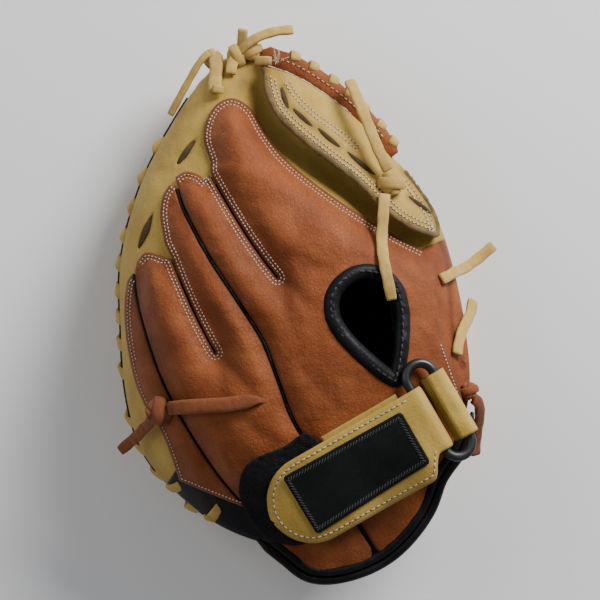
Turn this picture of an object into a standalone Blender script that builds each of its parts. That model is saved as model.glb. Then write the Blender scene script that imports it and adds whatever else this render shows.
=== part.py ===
"""Baseball catcher's mitt for the left hand, lying on its palm with its back facing up.

Units are millimetres until a mesh is made. +Y runs from the wrist to the fingertips, +X to the
thumb, +Z up out of the back. The padded body is a ring round a hollow pocket. Its outer and
pocket surfaces are radial profiles round CENTRE, and the leather panels of the back are sheets
draped on one height function. Four bodies move: the mitt, its thumb half, the strap's ring and
the strap's flap.
"""

import math

import bmesh
import bpy
import numpy as np
from mathutils import Vector
from mathutils.geometry import delaunay_2d_cdt

MM = 0.001

# Driving dimensions, in millimetres.
LEATHER = 2.6
THIN_LEATHER = 1.6
CLEARANCE = 0.5
SEAM_GAP = 1.0
CENTRE = (-12.0, 2.0)
RIM_HEIGHT = 32.0
RIM_HALF_WIDTH = 17.0
LACE_EDGE_HEIGHT = RIM_HEIGHT - 8.0
HEEL_RISE = 26.0
PAD_TOP = 61.5
POCKET_DEPTH = 52.0
POCKET_SLOPE = 74.0
BACK_HEIGHT = 107.0
BACK_PEAK = (-15.0, -40.0)
BACK_FALL_X = 0.0008
BACK_FALL_Y = 0.0010
DOME_POWER = 2.7
PANEL_LIFT = 1.1
STALL_PUFF = 9.0
STALL_ROUND = 11.0
SEAM_DEPTH = 5.0
SEAM_WIDTH = 7.0
RECESS_DEPTH = 15.0
RECESS_WIDTH = 13.0
PAD_INNER = 0.62
BAND_INNER = 0.68
WEB_ANGLES = (0.0, 75.0)
WEB_SETBACK = 22.0
WEB_LIFT = 26.0
WEB_EDGE_RISE = 22.0
WRIST_ANGLES = (216.0, 312.0)
HINGE_X = 61.0
HINGE_Z = 50.0
FOLD_HALF_ANGLE = math.radians(15.5)
PIPING_RADIUS = 1.5
BINDING_RADIUS = 3.0
HOLE_BINDING_RADIUS = 3.6
STRAP_LEATHER = 3.0
TAPE = 2.0
PATCH = 1.6
BAR_RADIUS = 2.6
STRAP_WAIST = 40.0
BAR_SPAN = 17.0
RING_LENGTH = 61.0
LACE_WIDTH = 6.5
LACE_THICKNESS = 2.4
CORD_RADIUS = 1.7
ROLL_RADIUS = 7.0
TURN = 7.5
GRID = 11.0

# Rim of the padded body, seen from above, anticlockwise.
RIM = [(97, 0), (99, 35), (97, 72), (84, 106), (62, 138), (38, 150), (16, 146), (-10, 134),
       (-48, 110), (-82, 76), (-104, 38), (-121, 2), (-129, -32), (-122, -66), (-104, -98),
       (-76, -126), (-40, -138), (0, -136), (36, -122), (60, -98), (76, -68), (88, -36)]
# Where the back would meet the rim's height: it follows the rim, but runs on past the wrist.
BACK_EDGE = [(97, 0), (99, 35), (97, 72), (84, 106), (62, 138), (38, 150), (16, 146), (-10, 134),
             (-48, 110), (-82, 76), (-104, 38), (-121, 2), (-129, -32), (-124, -70), (-122, -120),
             (-100, -180), (-40, -215), (30, -205), (72, -160), (82, -110), (84, -70), (90, -36)]

# Seams of the back, each from the fingertip end to the wrist.
MIDDLE_SEAM = [(-30, 97), (-33, 80), (-34, 50), (-32, 15), (-31, -10), (-35, -35), (-39, -60),
               (-38, -90), (-37, -120), (-36, -152)]
LITTLE_SEAM = [(-78, 64), (-84, 50), (-91, 22), (-95, -3), (-96, -35), (-94, -68), (-89, -92)]
INDEX_SLOT = [(-9, 92), (-9, 70), (-8.5, 50), (-7, 32), (-5, 18)]
RING_SLOT = [(-54, 60), (-56, 45), (-58, 26), (-59, 8), (-59, -2)]
INDEX_EDGE = [(-5, 98), (-2, 112), (6, 122), (16, 127), (26, 125), (32, 114), (32, 96), (35, 76),
              (44, 52), (56, 27), (69, 4), (79, -11)]
THUMB_SEAM = [(79, -11), (79, -24), (70, -42), (63, -58), (59, -76), (56, -92), (52, -106)]
WRIST_EDGE = [(52, -106), (38, -121), (18, -131), (2, -144), (-18, -153), (-38, -156), (-60, -152),
              (-75, -143), (-82, -127), (-89, -109)]
MIDDLE_TIP = [(-13, 86), (-15, 95), (-21, 101), (-30, 100), (-38, 96), (-45, 88), (-51, 76), (-53, 66)]
LITTLE_TIP = [(-57, 56), (-59, 64), (-66, 71), (-75, 69), (-86, 60), (-95, 47), (-103, 30),
              (-110, 8), (-112, -8), (-111, -24), (-113, -40), (-117, -58)]
LITTLE_FOOT = [(-117, -58), (-108, -69), (-99, -80), (-89, -92)]
FINGER_HOLE = [(36, 1), (46, -3), (54, -12), (56, -25), (51, -40), (41, -56), (31, -68), (24, -73),
               (18, -64), (12, -48), (8, -32), (8, -18), (14, -6), (24, 0)]
RECESS_LINE = [(44, 130), (39, 108), (44, 84), (56, 58), (65, 34), (71, 14), (84, -4)]
WEB_FLAP = [(50, 132), (44, 116), (43, 101), (48, 83), (56, 62), (63, 46), (68, 29), (73, 13),
            (82, -1), (90, -8), (94, 4), (93, 24), (90, 44), (83, 64), (76, 82), (68, 99), (60, 115)]
WEB_ROLL = [(54, 140), (69, 122), (80, 97), (87, 70), (88, 50)]

STRAP_LEFT, STRAP_RIGHT = -79.0, 30.0
STRAP_TOP, STRAP_BOTTOM = -79.0, -132.0
BAR_X = STRAP_RIGHT
COLOURS = {"rust": (0.33, 0.11, 0.045), "tan": (0.50, 0.34, 0.13), "black": (0.012, 0.012, 0.013),
           "fabric": (0.016, 0.016, 0.018),
           "felt": (0.55, 0.52, 0.45), "plastic": (0.02, 0.02, 0.02)}
nodes = {}


def clear_scene():
    for obj in list(bpy.data.objects):
        bpy.data.objects.remove(obj)


def material(name):
    found = bpy.data.materials.get(name)
    if found:
        return found
    made = bpy.data.materials.new(name)
    made.use_nodes = True
    shader = made.node_tree.nodes["Principled BSDF"]
    shader.inputs["Base Color"].default_value = (*COLOURS[name], 1)
    shader.inputs["Roughness"].default_value = 0.4 if name == "plastic" else 0.65
    return made


# Curves and distances.


def smooth(points, steps, closed=False):
    """A Catmull-Rom curve through the points."""
    p = np.array(points, float)
    if closed:
        p = np.vstack([p[-1], p, p[0], p[1]])
    else:
        p = np.vstack([2 * p[0] - p[1], p, 2 * p[-1] - p[-2]])
    t = np.arange(steps)[:, None] / steps
    parts = []
    for a, b, c, d in zip(p[:-3], p[1:-2], p[2:-1], p[3:]):
        parts.append(0.5 * (2 * b + (c - a) * t + (2 * a - 5 * b + 4 * c - d) * t**2
                            + (3 * b - a - 3 * c + d) * t**3))
    curve = np.vstack(parts)
    return curve if closed else np.vstack([curve, p[-2]])


def even(points, spacing, closed=False):
    """The same line with points about spacing apart."""
    p = np.array(points, float)
    if closed:
        p = np.vstack([p, p[0]])
    along = np.concatenate([[0], np.cumsum(np.linalg.norm(np.diff(p, axis=0), axis=1))])
    count = max(3, round(along[-1] / spacing))
    at = np.linspace(0, along[-1], count + 1)
    line = np.stack([np.interp(at, along, p[:, k]) for k in range(p.shape[1])], axis=1)
    return line[:-1] if closed else line


def distance(x, y, line):
    """Distance from each point to a polyline."""
    x, y = np.broadcast_arrays(np.asarray(x, float), np.asarray(y, float))
    q = np.stack([x.ravel(), y.ravel()], axis=1)
    best = np.full(len(q), 1e9)
    line = np.array(line, float)
    for a, b in zip(line[:-1], line[1:]):
        ab = b - a
        t = np.clip(((q - a) @ ab) / (ab @ ab), 0, 1)
        best = np.minimum(best, np.linalg.norm(q - a - t[:, None] * ab, axis=1))
    return best.reshape(np.shape(x))


def inside(x, y, loop):
    """Whether each point lies inside a closed outline."""
    x, y = np.asarray(x, float), np.asarray(y, float)
    hits = np.zeros(x.shape, bool)
    for (ax, ay), (bx, by) in zip(loop, np.roll(loop, -1, axis=0)):
        crosses = (ay > y) != (by > y)
        span = by - ay if by != ay else 1e-12
        hits ^= crosses & (x < (bx - ax) * (y - ay) / span + ax)
    return hits


def inset(loop, amount):
    """An anticlockwise outline moved inwards by amount."""
    p = np.array(loop, float)
    ahead = np.roll(p, -1, axis=0) - np.roll(p, 1, axis=0)
    normal = np.stack([-ahead[:, 1], ahead[:, 0]], axis=1)
    return p + amount * normal / np.maximum(np.linalg.norm(normal, axis=1), 1e-9)[:, None]


def radius_of(points):
    """The outline's distance from CENTRE as a function of angle."""
    dense = smooth(points, 10, closed=True) - np.array(CENTRE)
    angle = np.arctan2(dense[:, 1], dense[:, 0])
    radius = np.hypot(dense[:, 0], dense[:, 1])
    order = np.argsort(angle)
    return lambda a: np.interp(a, angle[order], radius[order], period=2 * math.pi)


rim_radius = radius_of(RIM)
edge_radius = radius_of(BACK_EDGE)


def ease(t):
    t = np.clip(t, 0, 1)
    return t * t * (3 - 2 * t)


# Heights of the back.


def share(a, span, ramp=11.0):
    """1 inside a span of angles in degrees, falling to 0 at its ends over ramp degrees."""
    middle, half = (span[0] + span[1]) / 2, (span[1] - span[0]) / 2
    off = np.abs((np.degrees(a) - middle + 180) % 360 - 180)
    return ease((half - off) / ramp)


def dome(x, y, recess=True):
    """Top of the leather that wraps the padded ring."""
    x, y = np.asarray(x, float), np.asarray(y, float)
    dx, dy = x - CENTRE[0], y - CENTRE[1]
    a = np.arctan2(dy, dx)
    rho = np.clip(np.hypot(dx, dy) / edge_radius(a), 0, 1)
    top = (BACK_HEIGHT - BACK_FALL_X * (x - BACK_PEAK[0]) ** 2
           - BACK_FALL_Y * (y - BACK_PEAK[1]) ** 2)
    z = RIM_HEIGHT + (top - RIM_HEIGHT) * (1 - rho**DOME_POWER) ** (1 / DOME_POWER)
    if recess:
        depth = RECESS_DEPTH * ease((1 - rho) / 0.2)
        z = z - depth * np.exp(-(distance(x, y, RECESS_LINE) / RECESS_WIDTH) ** 2)
    return z


STALL_EDGES = [INDEX_EDGE, INDEX_SLOT, RING_SLOT, MIDDLE_TIP, LITTLE_TIP, LITTLE_FOOT]


def panel_seat(x, y):
    """Underside of the panels where they lie on the ring. The steeper the back, the more it rises."""
    dx, dy = np.asarray(x, float) - CENTRE[0], np.asarray(y, float) - CENTRE[1]
    rho = np.hypot(dx, dy) / edge_radius(np.arctan2(dy, dx))
    return dome(x, y) + PANEL_LIFT + 6 * np.clip(rho - 0.75, 0, 0.25)


def back_top(x, y, seams=True):
    """Outer face of the stalls and back panels, which puff up between their seams."""
    near = np.min([distance(x, y, line) for line in STALL_EDGES], axis=0)
    puff = STALL_PUFF * (1 - np.exp(-((near / STALL_ROUND) ** 2)))
    for seam in (MIDDLE_SEAM, LITTLE_SEAM) if seams else ():
        puff = puff - SEAM_DEPTH * np.exp(-((distance(x, y, seam) / SEAM_WIDTH) ** 2))
    wrist = ease((-40 - np.asarray(y, float)) / 60)
    puff = np.maximum(puff, 0) * (1 - 0.6 * wrist)
    return panel_seat(x, y) + LEATHER + puff


def cover(x, y):
    """The same face without its seam valleys, for what lies across them."""
    return back_top(x, y, seams=False)


SPREAD_X, SPREAD_Y = np.meshgrid([-7.0, 0.0, 7.0], np.linspace(STRAP_BOTTOM, STRAP_TOP, 9))
BAR_STACK = STRAP_LEATHER + BAR_RADIUS + 2 * CLEARANCE
BAR_Z = float(np.max(cover(BAR_X + SPREAD_X, SPREAD_Y))) + BAR_STACK
PIVOT_Z = float(np.max(cover(BAR_X + BAR_SPAN + SPREAD_X, SPREAD_Y))) + BAR_STACK


def flap_under(x, y):
    """Underside of the strap's flap, which rises over the ring's bar."""
    lift = 2 * TAPE + 3 * CLEARANCE
    flat = BAR_Z + BAR_RADIUS + CLEARANCE
    to_bar = ease((np.asarray(x, float) - BAR_X + 50) / 44)
    return (cover(x, y) + lift) * (1 - to_bar) + flat * to_bar


# Mesh builders. Each takes millimetres and makes one closed object.


def add(name, body, finish, bm, round_angle=40):
    bmesh.ops.recalc_face_normals(bm, faces=bm.faces)
    bmesh.ops.scale(bm, vec=(MM, MM, MM), verts=bm.verts)
    mesh = bpy.data.meshes.new(name)
    bm.to_mesh(mesh)
    bm.free()
    mesh.shade_smooth()
    mesh.set_sharp_from_angle(angle=math.radians(round_angle))
    mesh.materials.append(material(finish))
    obj = bpy.data.objects.new(name, mesh)
    bpy.context.scene.collection.objects.link(obj)
    obj.parent = bodies[body]
    obj.matrix_parent_inverse = bodies[body].matrix_world.inverted()
    nodes[name] = obj
    return obj


def from_faces(points, faces):
    bm = bmesh.new()
    verts = [bm.verts.new(p) for p in points]
    for face in faces:
        bm.faces.new([verts[i] for i in face])
    return bm


def slab(name, body, finish, outline, low, high, hole=None, spacing=GRID):
    """A sheet between two height functions, cut to an anticlockwise outline."""
    loops = [even(outline, spacing * 0.8, closed=True)]
    if hole is not None:
        loops.append(even(hole, spacing * 0.6, closed=True))
    points = [Vector(p) for loop in loops for p in loop]
    edges = []
    start = 0
    for loop in loops:
        count = len(loop)
        edges += [(start + i, start + (i + 1) % count) for i in range(count)]
        start += count
    rows = np.arange(-180, 180, spacing * 0.866)
    columns = np.arange(-160, 140, spacing)
    for k, gy in enumerate(rows):
        gx = columns + spacing / 2 * (k % 2)
        row_y = np.full(gx.shape, gy)
        keep = inside(gx, row_y, loops[0])
        clear = distance(gx, row_y, np.vstack([loops[0], loops[0][:1]])) > spacing * 0.4
        if hole is not None:
            keep &= ~inside(gx, row_y, loops[1])
            clear &= distance(gx, row_y, np.vstack([loops[1], loops[1][:1]])) > spacing * 0.4
        points += [Vector((px, gy)) for px in gx[keep & clear]]
    flat, _, faces, *_ = delaunay_2d_cdt(points, edges, [], 0, 1e-4)
    xy = np.array([tuple(p) for p in flat])
    faces = np.array([list(f) for f in faces])
    middle = xy[faces].mean(axis=1)
    keep = inside(middle[:, 0], middle[:, 1], loops[0])
    if hole is not None:
        keep &= ~inside(middle[:, 0], middle[:, 1], loops[1])
    faces = faces[keep]
    top = np.column_stack([xy, high(xy[:, 0], xy[:, 1])])
    bottom = np.column_stack([xy, low(xy[:, 0], xy[:, 1])])
    count = len(xy)
    shell = [tuple(f) for f in faces] + [tuple(f[::-1] + count) for f in faces]
    directed = {(f[i], f[(i + 1) % 3]) for f in faces.tolist() for i in range(3)}
    shell += [(b, a, a + count, b + count) for a, b in directed if (b, a) not in directed]
    bm = from_faces(np.vstack([top, bottom]), shell)
    bmesh.ops.delete(bm, geom=[v for v in bm.verts if not v.link_faces], context="VERTS")
    return add(name, body, finish, bm)


def loft(name, body, finish, section, first=0.0, last=360.0):
    """A solid swept round CENTRE: section(angle) gives the corners of its cut, as (radius, z)."""
    full = last - first >= 360
    turns = np.arange(math.ceil(first / TURN), math.floor(last / TURN) + 1) * TURN
    if full:
        turns = turns[:-1]
    else:
        turns = np.unique([first, *turns, last])
    turns = np.radians(turns)
    rings = []
    for a in turns:
        cut = np.array(section(a))
        rings.append(np.column_stack([CENTRE[0] + cut[:, 0] * math.cos(a),
                                      CENTRE[1] + cut[:, 0] * math.sin(a), cut[:, 1]]))
    corners = len(rings[0])
    bm = bmesh.new()
    verts = [[bm.verts.new(p) for p in ring] for ring in rings]
    pairs = zip(verts, verts[1:] + verts[:1]) if full else zip(verts[:-1], verts[1:])
    for near, far in pairs:
        for i in range(corners):
            j = (i + 1) % corners
            bm.faces.new((near[i], near[j], far[j], far[i]))
    if not full:
        bm.faces.new(verts[0])
        bm.faces.new(verts[-1])
    bmesh.ops.remove_doubles(bm, verts=bm.verts, dist=0.01)
    bmesh.ops.triangulate(bm, faces=[f for f in bm.faces if len(f.verts) > 4])
    return add(name, body, finish, bm)


def tube(name, body, finish, points, radius, closed=False, sides=3):
    """A round cord or piping along the points."""
    curve = bpy.data.curves.new(name, "CURVE")
    curve.dimensions = "3D"
    curve.bevel_depth = radius * MM
    curve.bevel_resolution = sides
    curve.use_fill_caps = not closed
    spline = curve.splines.new("POLY")
    spline.points.add(len(points) - 1)
    for spot, p in zip(spline.points, points):
        spot.co = (p[0] * MM, p[1] * MM, p[2] * MM, 1)
    spline.use_cyclic_u = closed
    curve.materials.append(material(finish))
    obj = bpy.data.objects.new(name, curve)
    bpy.context.scene.collection.objects.link(obj)
    obj.parent = bodies[body]
    obj.matrix_parent_inverse = bodies[body].matrix_world.inverted()
    nodes[name] = obj
    return obj


def ribbon(name, body, finish, points, up, width=LACE_WIDTH, thickness=LACE_THICKNESS, closed=False):
    """A flat lace along the points. up is the way its flat face looks, one vector for each point."""
    p = np.array(points, float)
    if closed:
        ahead = np.roll(p, -1, axis=0) - np.roll(p, 1, axis=0)
    else:
        ahead = np.gradient(p, axis=0)
    ahead /= np.linalg.norm(ahead, axis=1)[:, None]
    up = np.broadcast_to(np.array(up, float), p.shape)
    side = np.cross(up, ahead)
    side /= np.linalg.norm(side, axis=1)[:, None]
    face = np.cross(ahead, side)
    w, t = width / 2, thickness / 2
    cut = [(-w, -t * 0.5), (-w * 0.85, -t), (w * 0.85, -t), (w, -t * 0.5),
           (w, t * 0.5), (w * 0.85, t), (-w * 0.85, t), (-w, t * 0.5)]
    bm = bmesh.new()
    rings = []
    for q, s, f in zip(p, side, face):
        rings.append([bm.verts.new(q + a * s + b * f) for a, b in cut])
    pairs = zip(rings, rings[1:] + rings[:1]) if closed else zip(rings[:-1], rings[1:])
    for near, far in pairs:
        for i in range(len(cut)):
            j = (i + 1) % len(cut)
            bm.faces.new((near[i], near[j], far[j], far[i]))
    if not closed:
        bm.faces.new(rings[0])
        bm.faces.new(rings[-1])
    bmesh.ops.triangulate(bm, faces=[f for f in bm.faces if len(f.verts) > 4])
    return add(name, body, finish, bm)


def grid_solid(name, body, finish, top, bottom):
    """A closed solid between two grids of points of the same shape."""
    rows, columns, _ = top.shape
    bm = bmesh.new()
    layers = [[[bm.verts.new(p) for p in row] for row in grid] for grid in (top, bottom)]
    for i in range(rows - 1):
        for j in range(columns - 1):
            for layer in layers:
                bm.faces.new((layer[i][j], layer[i + 1][j], layer[i + 1][j + 1], layer[i][j + 1]))
    upper, lower = layers
    for i in range(rows - 1):
        for j in (0, columns - 1):
            bm.faces.new((upper[i][j], upper[i + 1][j], lower[i + 1][j], lower[i][j]))
    for j in range(columns - 1):
        for i in (0, rows - 1):
            bm.faces.new((upper[i][j], upper[i][j + 1], lower[i][j + 1], lower[i][j]))
    bmesh.ops.remove_doubles(bm, verts=bm.verts, dist=0.01)
    return add(name, body, finish, bm)


def strip(name, body, finish, path, thickness, start, end):
    """A strip of leather whose edge follows path in the XZ plane, extruded from start to end.

    start and end are the strip's two edges as (y, added height)."""
    p = np.array(path, float)
    ahead = np.gradient(p, axis=0)
    ahead /= np.linalg.norm(ahead, axis=1)[:, None]
    normal = np.column_stack([-ahead[:, 1], ahead[:, 0]])
    outline = np.vstack([p + normal * thickness / 2, (p - normal * thickness / 2)[::-1]])
    bm = bmesh.new()
    count = len(outline)
    caps = []
    for y, rise in (start, end):
        caps.append([bm.verts.new((q[0], y, q[1] + rise)) for q in outline])
    for i in range(count):
        j = (i + 1) % count
        bm.faces.new((caps[0][i], caps[0][j], caps[1][j], caps[1][i]))
    for cap in caps:
        for i in range(count // 2 - 1):
            bm.faces.new((cap[i], cap[i + 1], cap[count - 2 - i], cap[count - 1 - i]))
    return add(name, body, finish, bm)


# The padded ring's sections, as (radius, z) at an angle.


def palm_path(a):
    """The palm leather's outer face from its laced edge, under the rim and up into the pocket."""
    web, wrist = float(share(a, WEB_ANGLES)), float(share(a, WRIST_ANGLES, 14.0))
    outer = float(rim_radius(a)) - WEB_SETBACK * web
    side = LACE_EDGE_HEIGHT + WEB_EDGE_RISE * web
    low = WEB_LIFT * web
    path = [(outer, side + 1 + HEEL_RISE * wrist), (outer, side)]
    for turn in np.radians([25, 50, 75, 90]):
        path.append((outer - RIM_HALF_WIDTH * (1 - math.cos(turn)),
                     side - (side - low) * math.sin(turn)))
    for u in (0.15, 0.3, 0.5, 0.7, 1.0):
        path.append((outer - RIM_HALF_WIDTH - POCKET_SLOPE * u,
                     low + (POCKET_DEPTH - low) * float(ease(u))))
    path.append((0.0, POCKET_DEPTH))
    return np.array(path)


def offset(path, amount):
    ahead = np.gradient(path, axis=0)
    ahead /= np.linalg.norm(ahead, axis=1)[:, None]
    moved = path - amount * np.column_stack([-ahead[:, 1], ahead[:, 0]])
    moved[-1, 0] = path[-1, 0]
    return moved


def palm_section(a):
    path = palm_path(a)
    return np.vstack([path, offset(path, LEATHER)[::-1]])


def above_palm(a, r):
    inner = offset(palm_path(a), LEATHER + CLEARANCE)[3:]
    return np.interp(r, inner[::-1, 0], inner[::-1, 1])


def at(a, r):
    return CENTRE[0] + r * np.cos(a), CENTRE[1] + r * np.sin(a)


def outer_edge(a):
    return float(rim_radius(a)) - WEB_SETBACK * float(share(a, WEB_ANGLES))


def band_inner(a):
    wide = 0.19 * float(share(a, (-8, 66), 14.0))
    return (BAND_INNER - wide) * float(rim_radius(a))


def band_section(a, first=None):
    """The leather over the ring's back, from under the back panels to the laced edge."""
    across = np.linspace(0, 1, 4 if first else 9)
    first = first or band_inner(a)
    r = first + (outer_edge(a) - first) * across
    r = r + (outer_edge(a) - r) * 0.35 * np.sin(across * math.pi)
    path = np.column_stack([r, dome(*at(a, r))])
    low = palm_path(a)[0, 1] + LACE_THICKNESS + 2 * CLEARANCE + 0.3
    down = np.linspace(path[-1, 1], min(low, path[-1, 1] - 2), 3)[1:]
    path = np.vstack([path, np.column_stack([np.full(2, r[-1]), down])])
    path = path[::-1]
    ahead = np.gradient(path, axis=0)
    ahead /= np.linalg.norm(ahead, axis=1)[:, None]
    inner = path + LEATHER * np.column_stack([-ahead[:, 1], ahead[:, 0]])
    return np.vstack([path, inner[::-1]])


def corner_section(a):
    return band_section(a, outer_edge(a) - 14)


def pad_section(a):
    r = np.linspace(PAD_INNER * float(rim_radius(a)), outer_edge(a) - 9.0, 6)
    low = above_palm(a, r)
    high = dome(*at(a, r)) - LEATHER - CLEARANCE - 2.2 - 5.0 * ((r - r[0]) / (r[-1] - r[0])) ** 3
    return np.vstack([np.column_stack([r, low]), np.column_stack([r, high])[::-1]])


def heel_section(a):
    r = np.linspace(PAD_INNER * float(rim_radius(a)), outer_edge(a) - LEATHER - CLEARANCE, 6)
    r[-1] = r[-1] - 1.0
    low = above_palm(a, r)
    low[-1] = LACE_EDGE_HEIGHT - 2
    high = np.full(len(r), PAD_TOP - CLEARANCE)
    high[-1] = palm_path(a)[0, 1] - 3
    return np.vstack([np.column_stack([r, low]), np.column_stack([r, high])[::-1]])


def centre_section(a):
    first = PAD_INNER * float(rim_radius(a)) - SEAM_GAP
    inner = offset(palm_path(a), LEATHER + CLEARANCE)[6:]
    r = np.minimum(np.append(first, inner[:, 0]), first)
    low = above_palm(a, r) + 8 * CLEARANCE
    return np.vstack([np.column_stack([r, low]), [(0, PAD_TOP), (first, PAD_TOP)]])


def wedge(name, side):
    """A guide solid that covers one side of the thumb's fold. side is -1 for the mitt's own."""
    slant = math.tan(FOLD_HALF_ANGLE) * (HINGE_Z + 20)
    near = HINGE_X + side * 0.4 * SEAM_GAP
    cut = [(near, 300), (near, HINGE_Z), (near + side * slant, -20),
           (side * 400, -20), (side * 400, 300)]
    bm = bmesh.new()
    caps = [[bm.verts.new((x, y, z)) for x, z in cut] for y in (-400, 400)]
    for i in range(5):
        j = (i + 1) % 5
        bm.faces.new((caps[0][i], caps[0][j], caps[1][j], caps[1][i]))
    bm.faces.new(caps[0])
    bm.faces.new(caps[1])
    bmesh.ops.recalc_face_normals(bm, faces=bm.faces)
    bmesh.ops.scale(bm, vec=(MM, MM, MM), verts=bm.verts)
    mesh = bpy.data.meshes.new(name)
    bm.to_mesh(mesh)
    bm.free()
    obj = bpy.data.objects.new(name, mesh)
    obj.hide_render = True
    obj.display_type = "WIRE"
    obj.parent = bodies["root"]
    bpy.context.scene.collection.objects.link(obj)
    return obj


def keep(obj, guide):
    cut = obj.modifiers.new("Fold", "BOOLEAN")
    cut.operation = "INTERSECT"
    cut.solver = "EXACT"
    cut.object = guide
    return obj


def on(points, height, closed=False, spacing=None):
    """The line through points, at a height above the plane given by a function of x and y."""
    line = smooth(points, 6, closed=closed)
    if spacing:
        line = even(line, spacing, closed=closed)
    return np.column_stack([line, height(line[:, 0], line[:, 1])])


def polar(radius, first, last, step):
    """Points on a curve round CENTRE, as x and y."""
    turns = np.radians(np.arange(first, last + step / 2, step))
    return np.array([at(a, radius(a)) for a in turns])


# Assembly.

clear_scene()
bodies = {}
for body_name, place, parent in (("root", (0, 0, 0), None),
                                 ("thumb", (HINGE_X, 0, HINGE_Z), "root"),
                                 ("ring", (BAR_X + BAR_SPAN, -100, PIVOT_Z), "root"),
                                 ("strap", (BAR_X, -100, BAR_Z), "ring")):
    empty = bpy.data.objects.new("body_" + body_name, None)
    bpy.context.scene.collection.objects.link(empty)
    if parent:
        empty.parent = bodies[parent]
        place = tuple(p - q for p, q in zip(place, bodies[parent]["at"]))
        empty["at"] = [p + q for p, q in zip(place, bodies[parent]["at"])]
    else:
        empty["at"] = list(place)
    empty.location = [p * MM for p in place]
    bodies[body_name] = empty
bpy.context.view_layer.update()
fixed_side = wedge("fold_guide_mitt", -1)
thumb_side = wedge("fold_guide_thumb", 1)

# The palm, its pads and the band that wraps them.
for node, body, guide in (("palm_leather", "root", fixed_side),
                          ("palm_leather_thumb", "thumb", thumb_side)):
    keep(loft(node, body, "tan", palm_section), guide)
keep(loft("palm_pad_fingers", "root", "felt", pad_section, 52.5, 149.6), fixed_side)
loft("palm_pad_little", "root", "felt", pad_section, 150.4, 209.6)
keep(loft("heel_pad", "root", "felt", heel_section, 210.4, 315), fixed_side)
keep(loft("palm_pad_centre", "root", "felt", centre_section), fixed_side)
keep(loft("thumb_pad", "thumb", "felt", pad_section, -52.5, 0), thumb_side)
keep(loft("web_pad", "thumb", "felt", pad_section, 7.5, 75), thumb_side)
keep(loft("back_rim_band", "root", "tan", band_section, 45, 225), fixed_side)
keep(loft("web_rim_band", "thumb", "tan", band_section, -7.1, 75), thumb_side)
keep(loft("thumb_rim_band", "thumb", "rust", band_section, -60, -7.9), thumb_side)
keep(loft("wrist_rim_band", "root", "rust", corner_section, -67.5, -45), fixed_side)

# The linings of the hand's space.
hand = np.vstack([polar(lambda a: band_inner(a) - LEATHER - SEAM_GAP, -42, 226, 6),
                  even(smooth([(-78, -112), (-74, -128), (-60, -146), (-38, -150), (-18, -147), (2, -138),
                               (16, -125), (30, -112), (38, -96)], 4), 11)])
floor = np.vstack([polar(lambda a: PAD_INNER * rim_radius(a) - 2 * SEAM_GAP, -42, 212, 8),
                   polar(lambda a: rim_radius(a) - LEATHER - 2 * CLEARANCE - 6, 228, 300, 8)])
keep(slab("back_lining", "root", "fabric", hand, lambda x, y: dome(x, y) - THIN_LEATHER,
          lambda x, y: dome(x, y), hole=FINGER_HOLE, spacing=17), fixed_side)
slab("palm_lining", "root", "fabric", floor, lambda x, y: np.full(np.shape(x), PAD_TOP + CLEARANCE),
     lambda x, y: np.full(np.shape(x), PAD_TOP + CLEARANCE + THIN_LEATHER), spacing=22)

# The back panels.


def under_panel(x, y):
    return back_top(x, y) - LEATHER


def shifted(points, dx, dy=0.0):
    return [(x + dx, y + dy) for x, y in points]


gap = SEAM_GAP / 2 + PIPING_RADIUS
middle_line = even(smooth(MIDDLE_SEAM, 5), 8)
little_line = even(smooth(LITTLE_SEAM, 5), 8)
wrist_line = even(smooth(WRIST_EDGE, 5), 8)
slot_index = smooth(INDEX_SLOT, 4)
slot_ring = smooth(RING_SLOT, 4)
index_loop = np.vstack([
    shifted(middle_line[:-1], gap),
    wrist_line[(wrist_line[:, 0] > -36 + gap) & (wrist_line[:, 0] < 52)][::-1],
    smooth(THUMB_SEAM, 4)[::-1], smooth(INDEX_EDGE, 4)[::-1],
    shifted(slot_index, 1.2), shifted(slot_index, -1.2)[::-1],
    smooth([(-13, 88), (-15, 95), (-21, 101), (-28, 101)], 3)])
middle_loop = np.vstack([
    shifted(middle_line[:-1], -gap)[::-1],
    smooth([(-33, 99), (-40, 95), (-47, 86), (-53, 70)], 3),
    shifted(slot_ring, 1.2), shifted(slot_ring, -1.2)[::-1],
    smooth([(-57.5, 62), (-60, 66), (-66, 71), (-73, 69)], 3),
    shifted(little_line, gap),
    wrist_line[wrist_line[:, 0] < -36 - gap][::-1]])
little_loop = np.vstack([
    shifted(little_line, -gap)[::-1], smooth([(-82, 63), (-86, 60), (-95, 47), (-103, 30), (-110, 8),
                                              (-112, -8), (-111, -24), (-113, -40), (-117, -58)], 3),
    smooth(LITTLE_FOOT, 3)[1:-1]])
keep(slab("back_panel_index", "root", "rust", index_loop, under_panel, back_top,
          hole=FINGER_HOLE), fixed_side)
keep(slab("back_panel_thumb_side", "thumb", "rust", index_loop, under_panel, back_top,
          hole=FINGER_HOLE), thumb_side)
slab("back_panel_middle", "root", "rust", middle_loop, under_panel, back_top)
slab("back_panel_little", "root", "rust", little_loop, under_panel, back_top)



def beside(line, amount):
    """An open line moved to the left of its own direction."""
    p = np.array(line, float)
    ahead = np.gradient(p, axis=0)
    ahead /= np.linalg.norm(ahead, axis=1)[:, None]
    return p + amount * np.column_stack([-ahead[:, 1], ahead[:, 0]])


def above(height, rise):
    return lambda x, y: height(x, y) + rise


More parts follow.
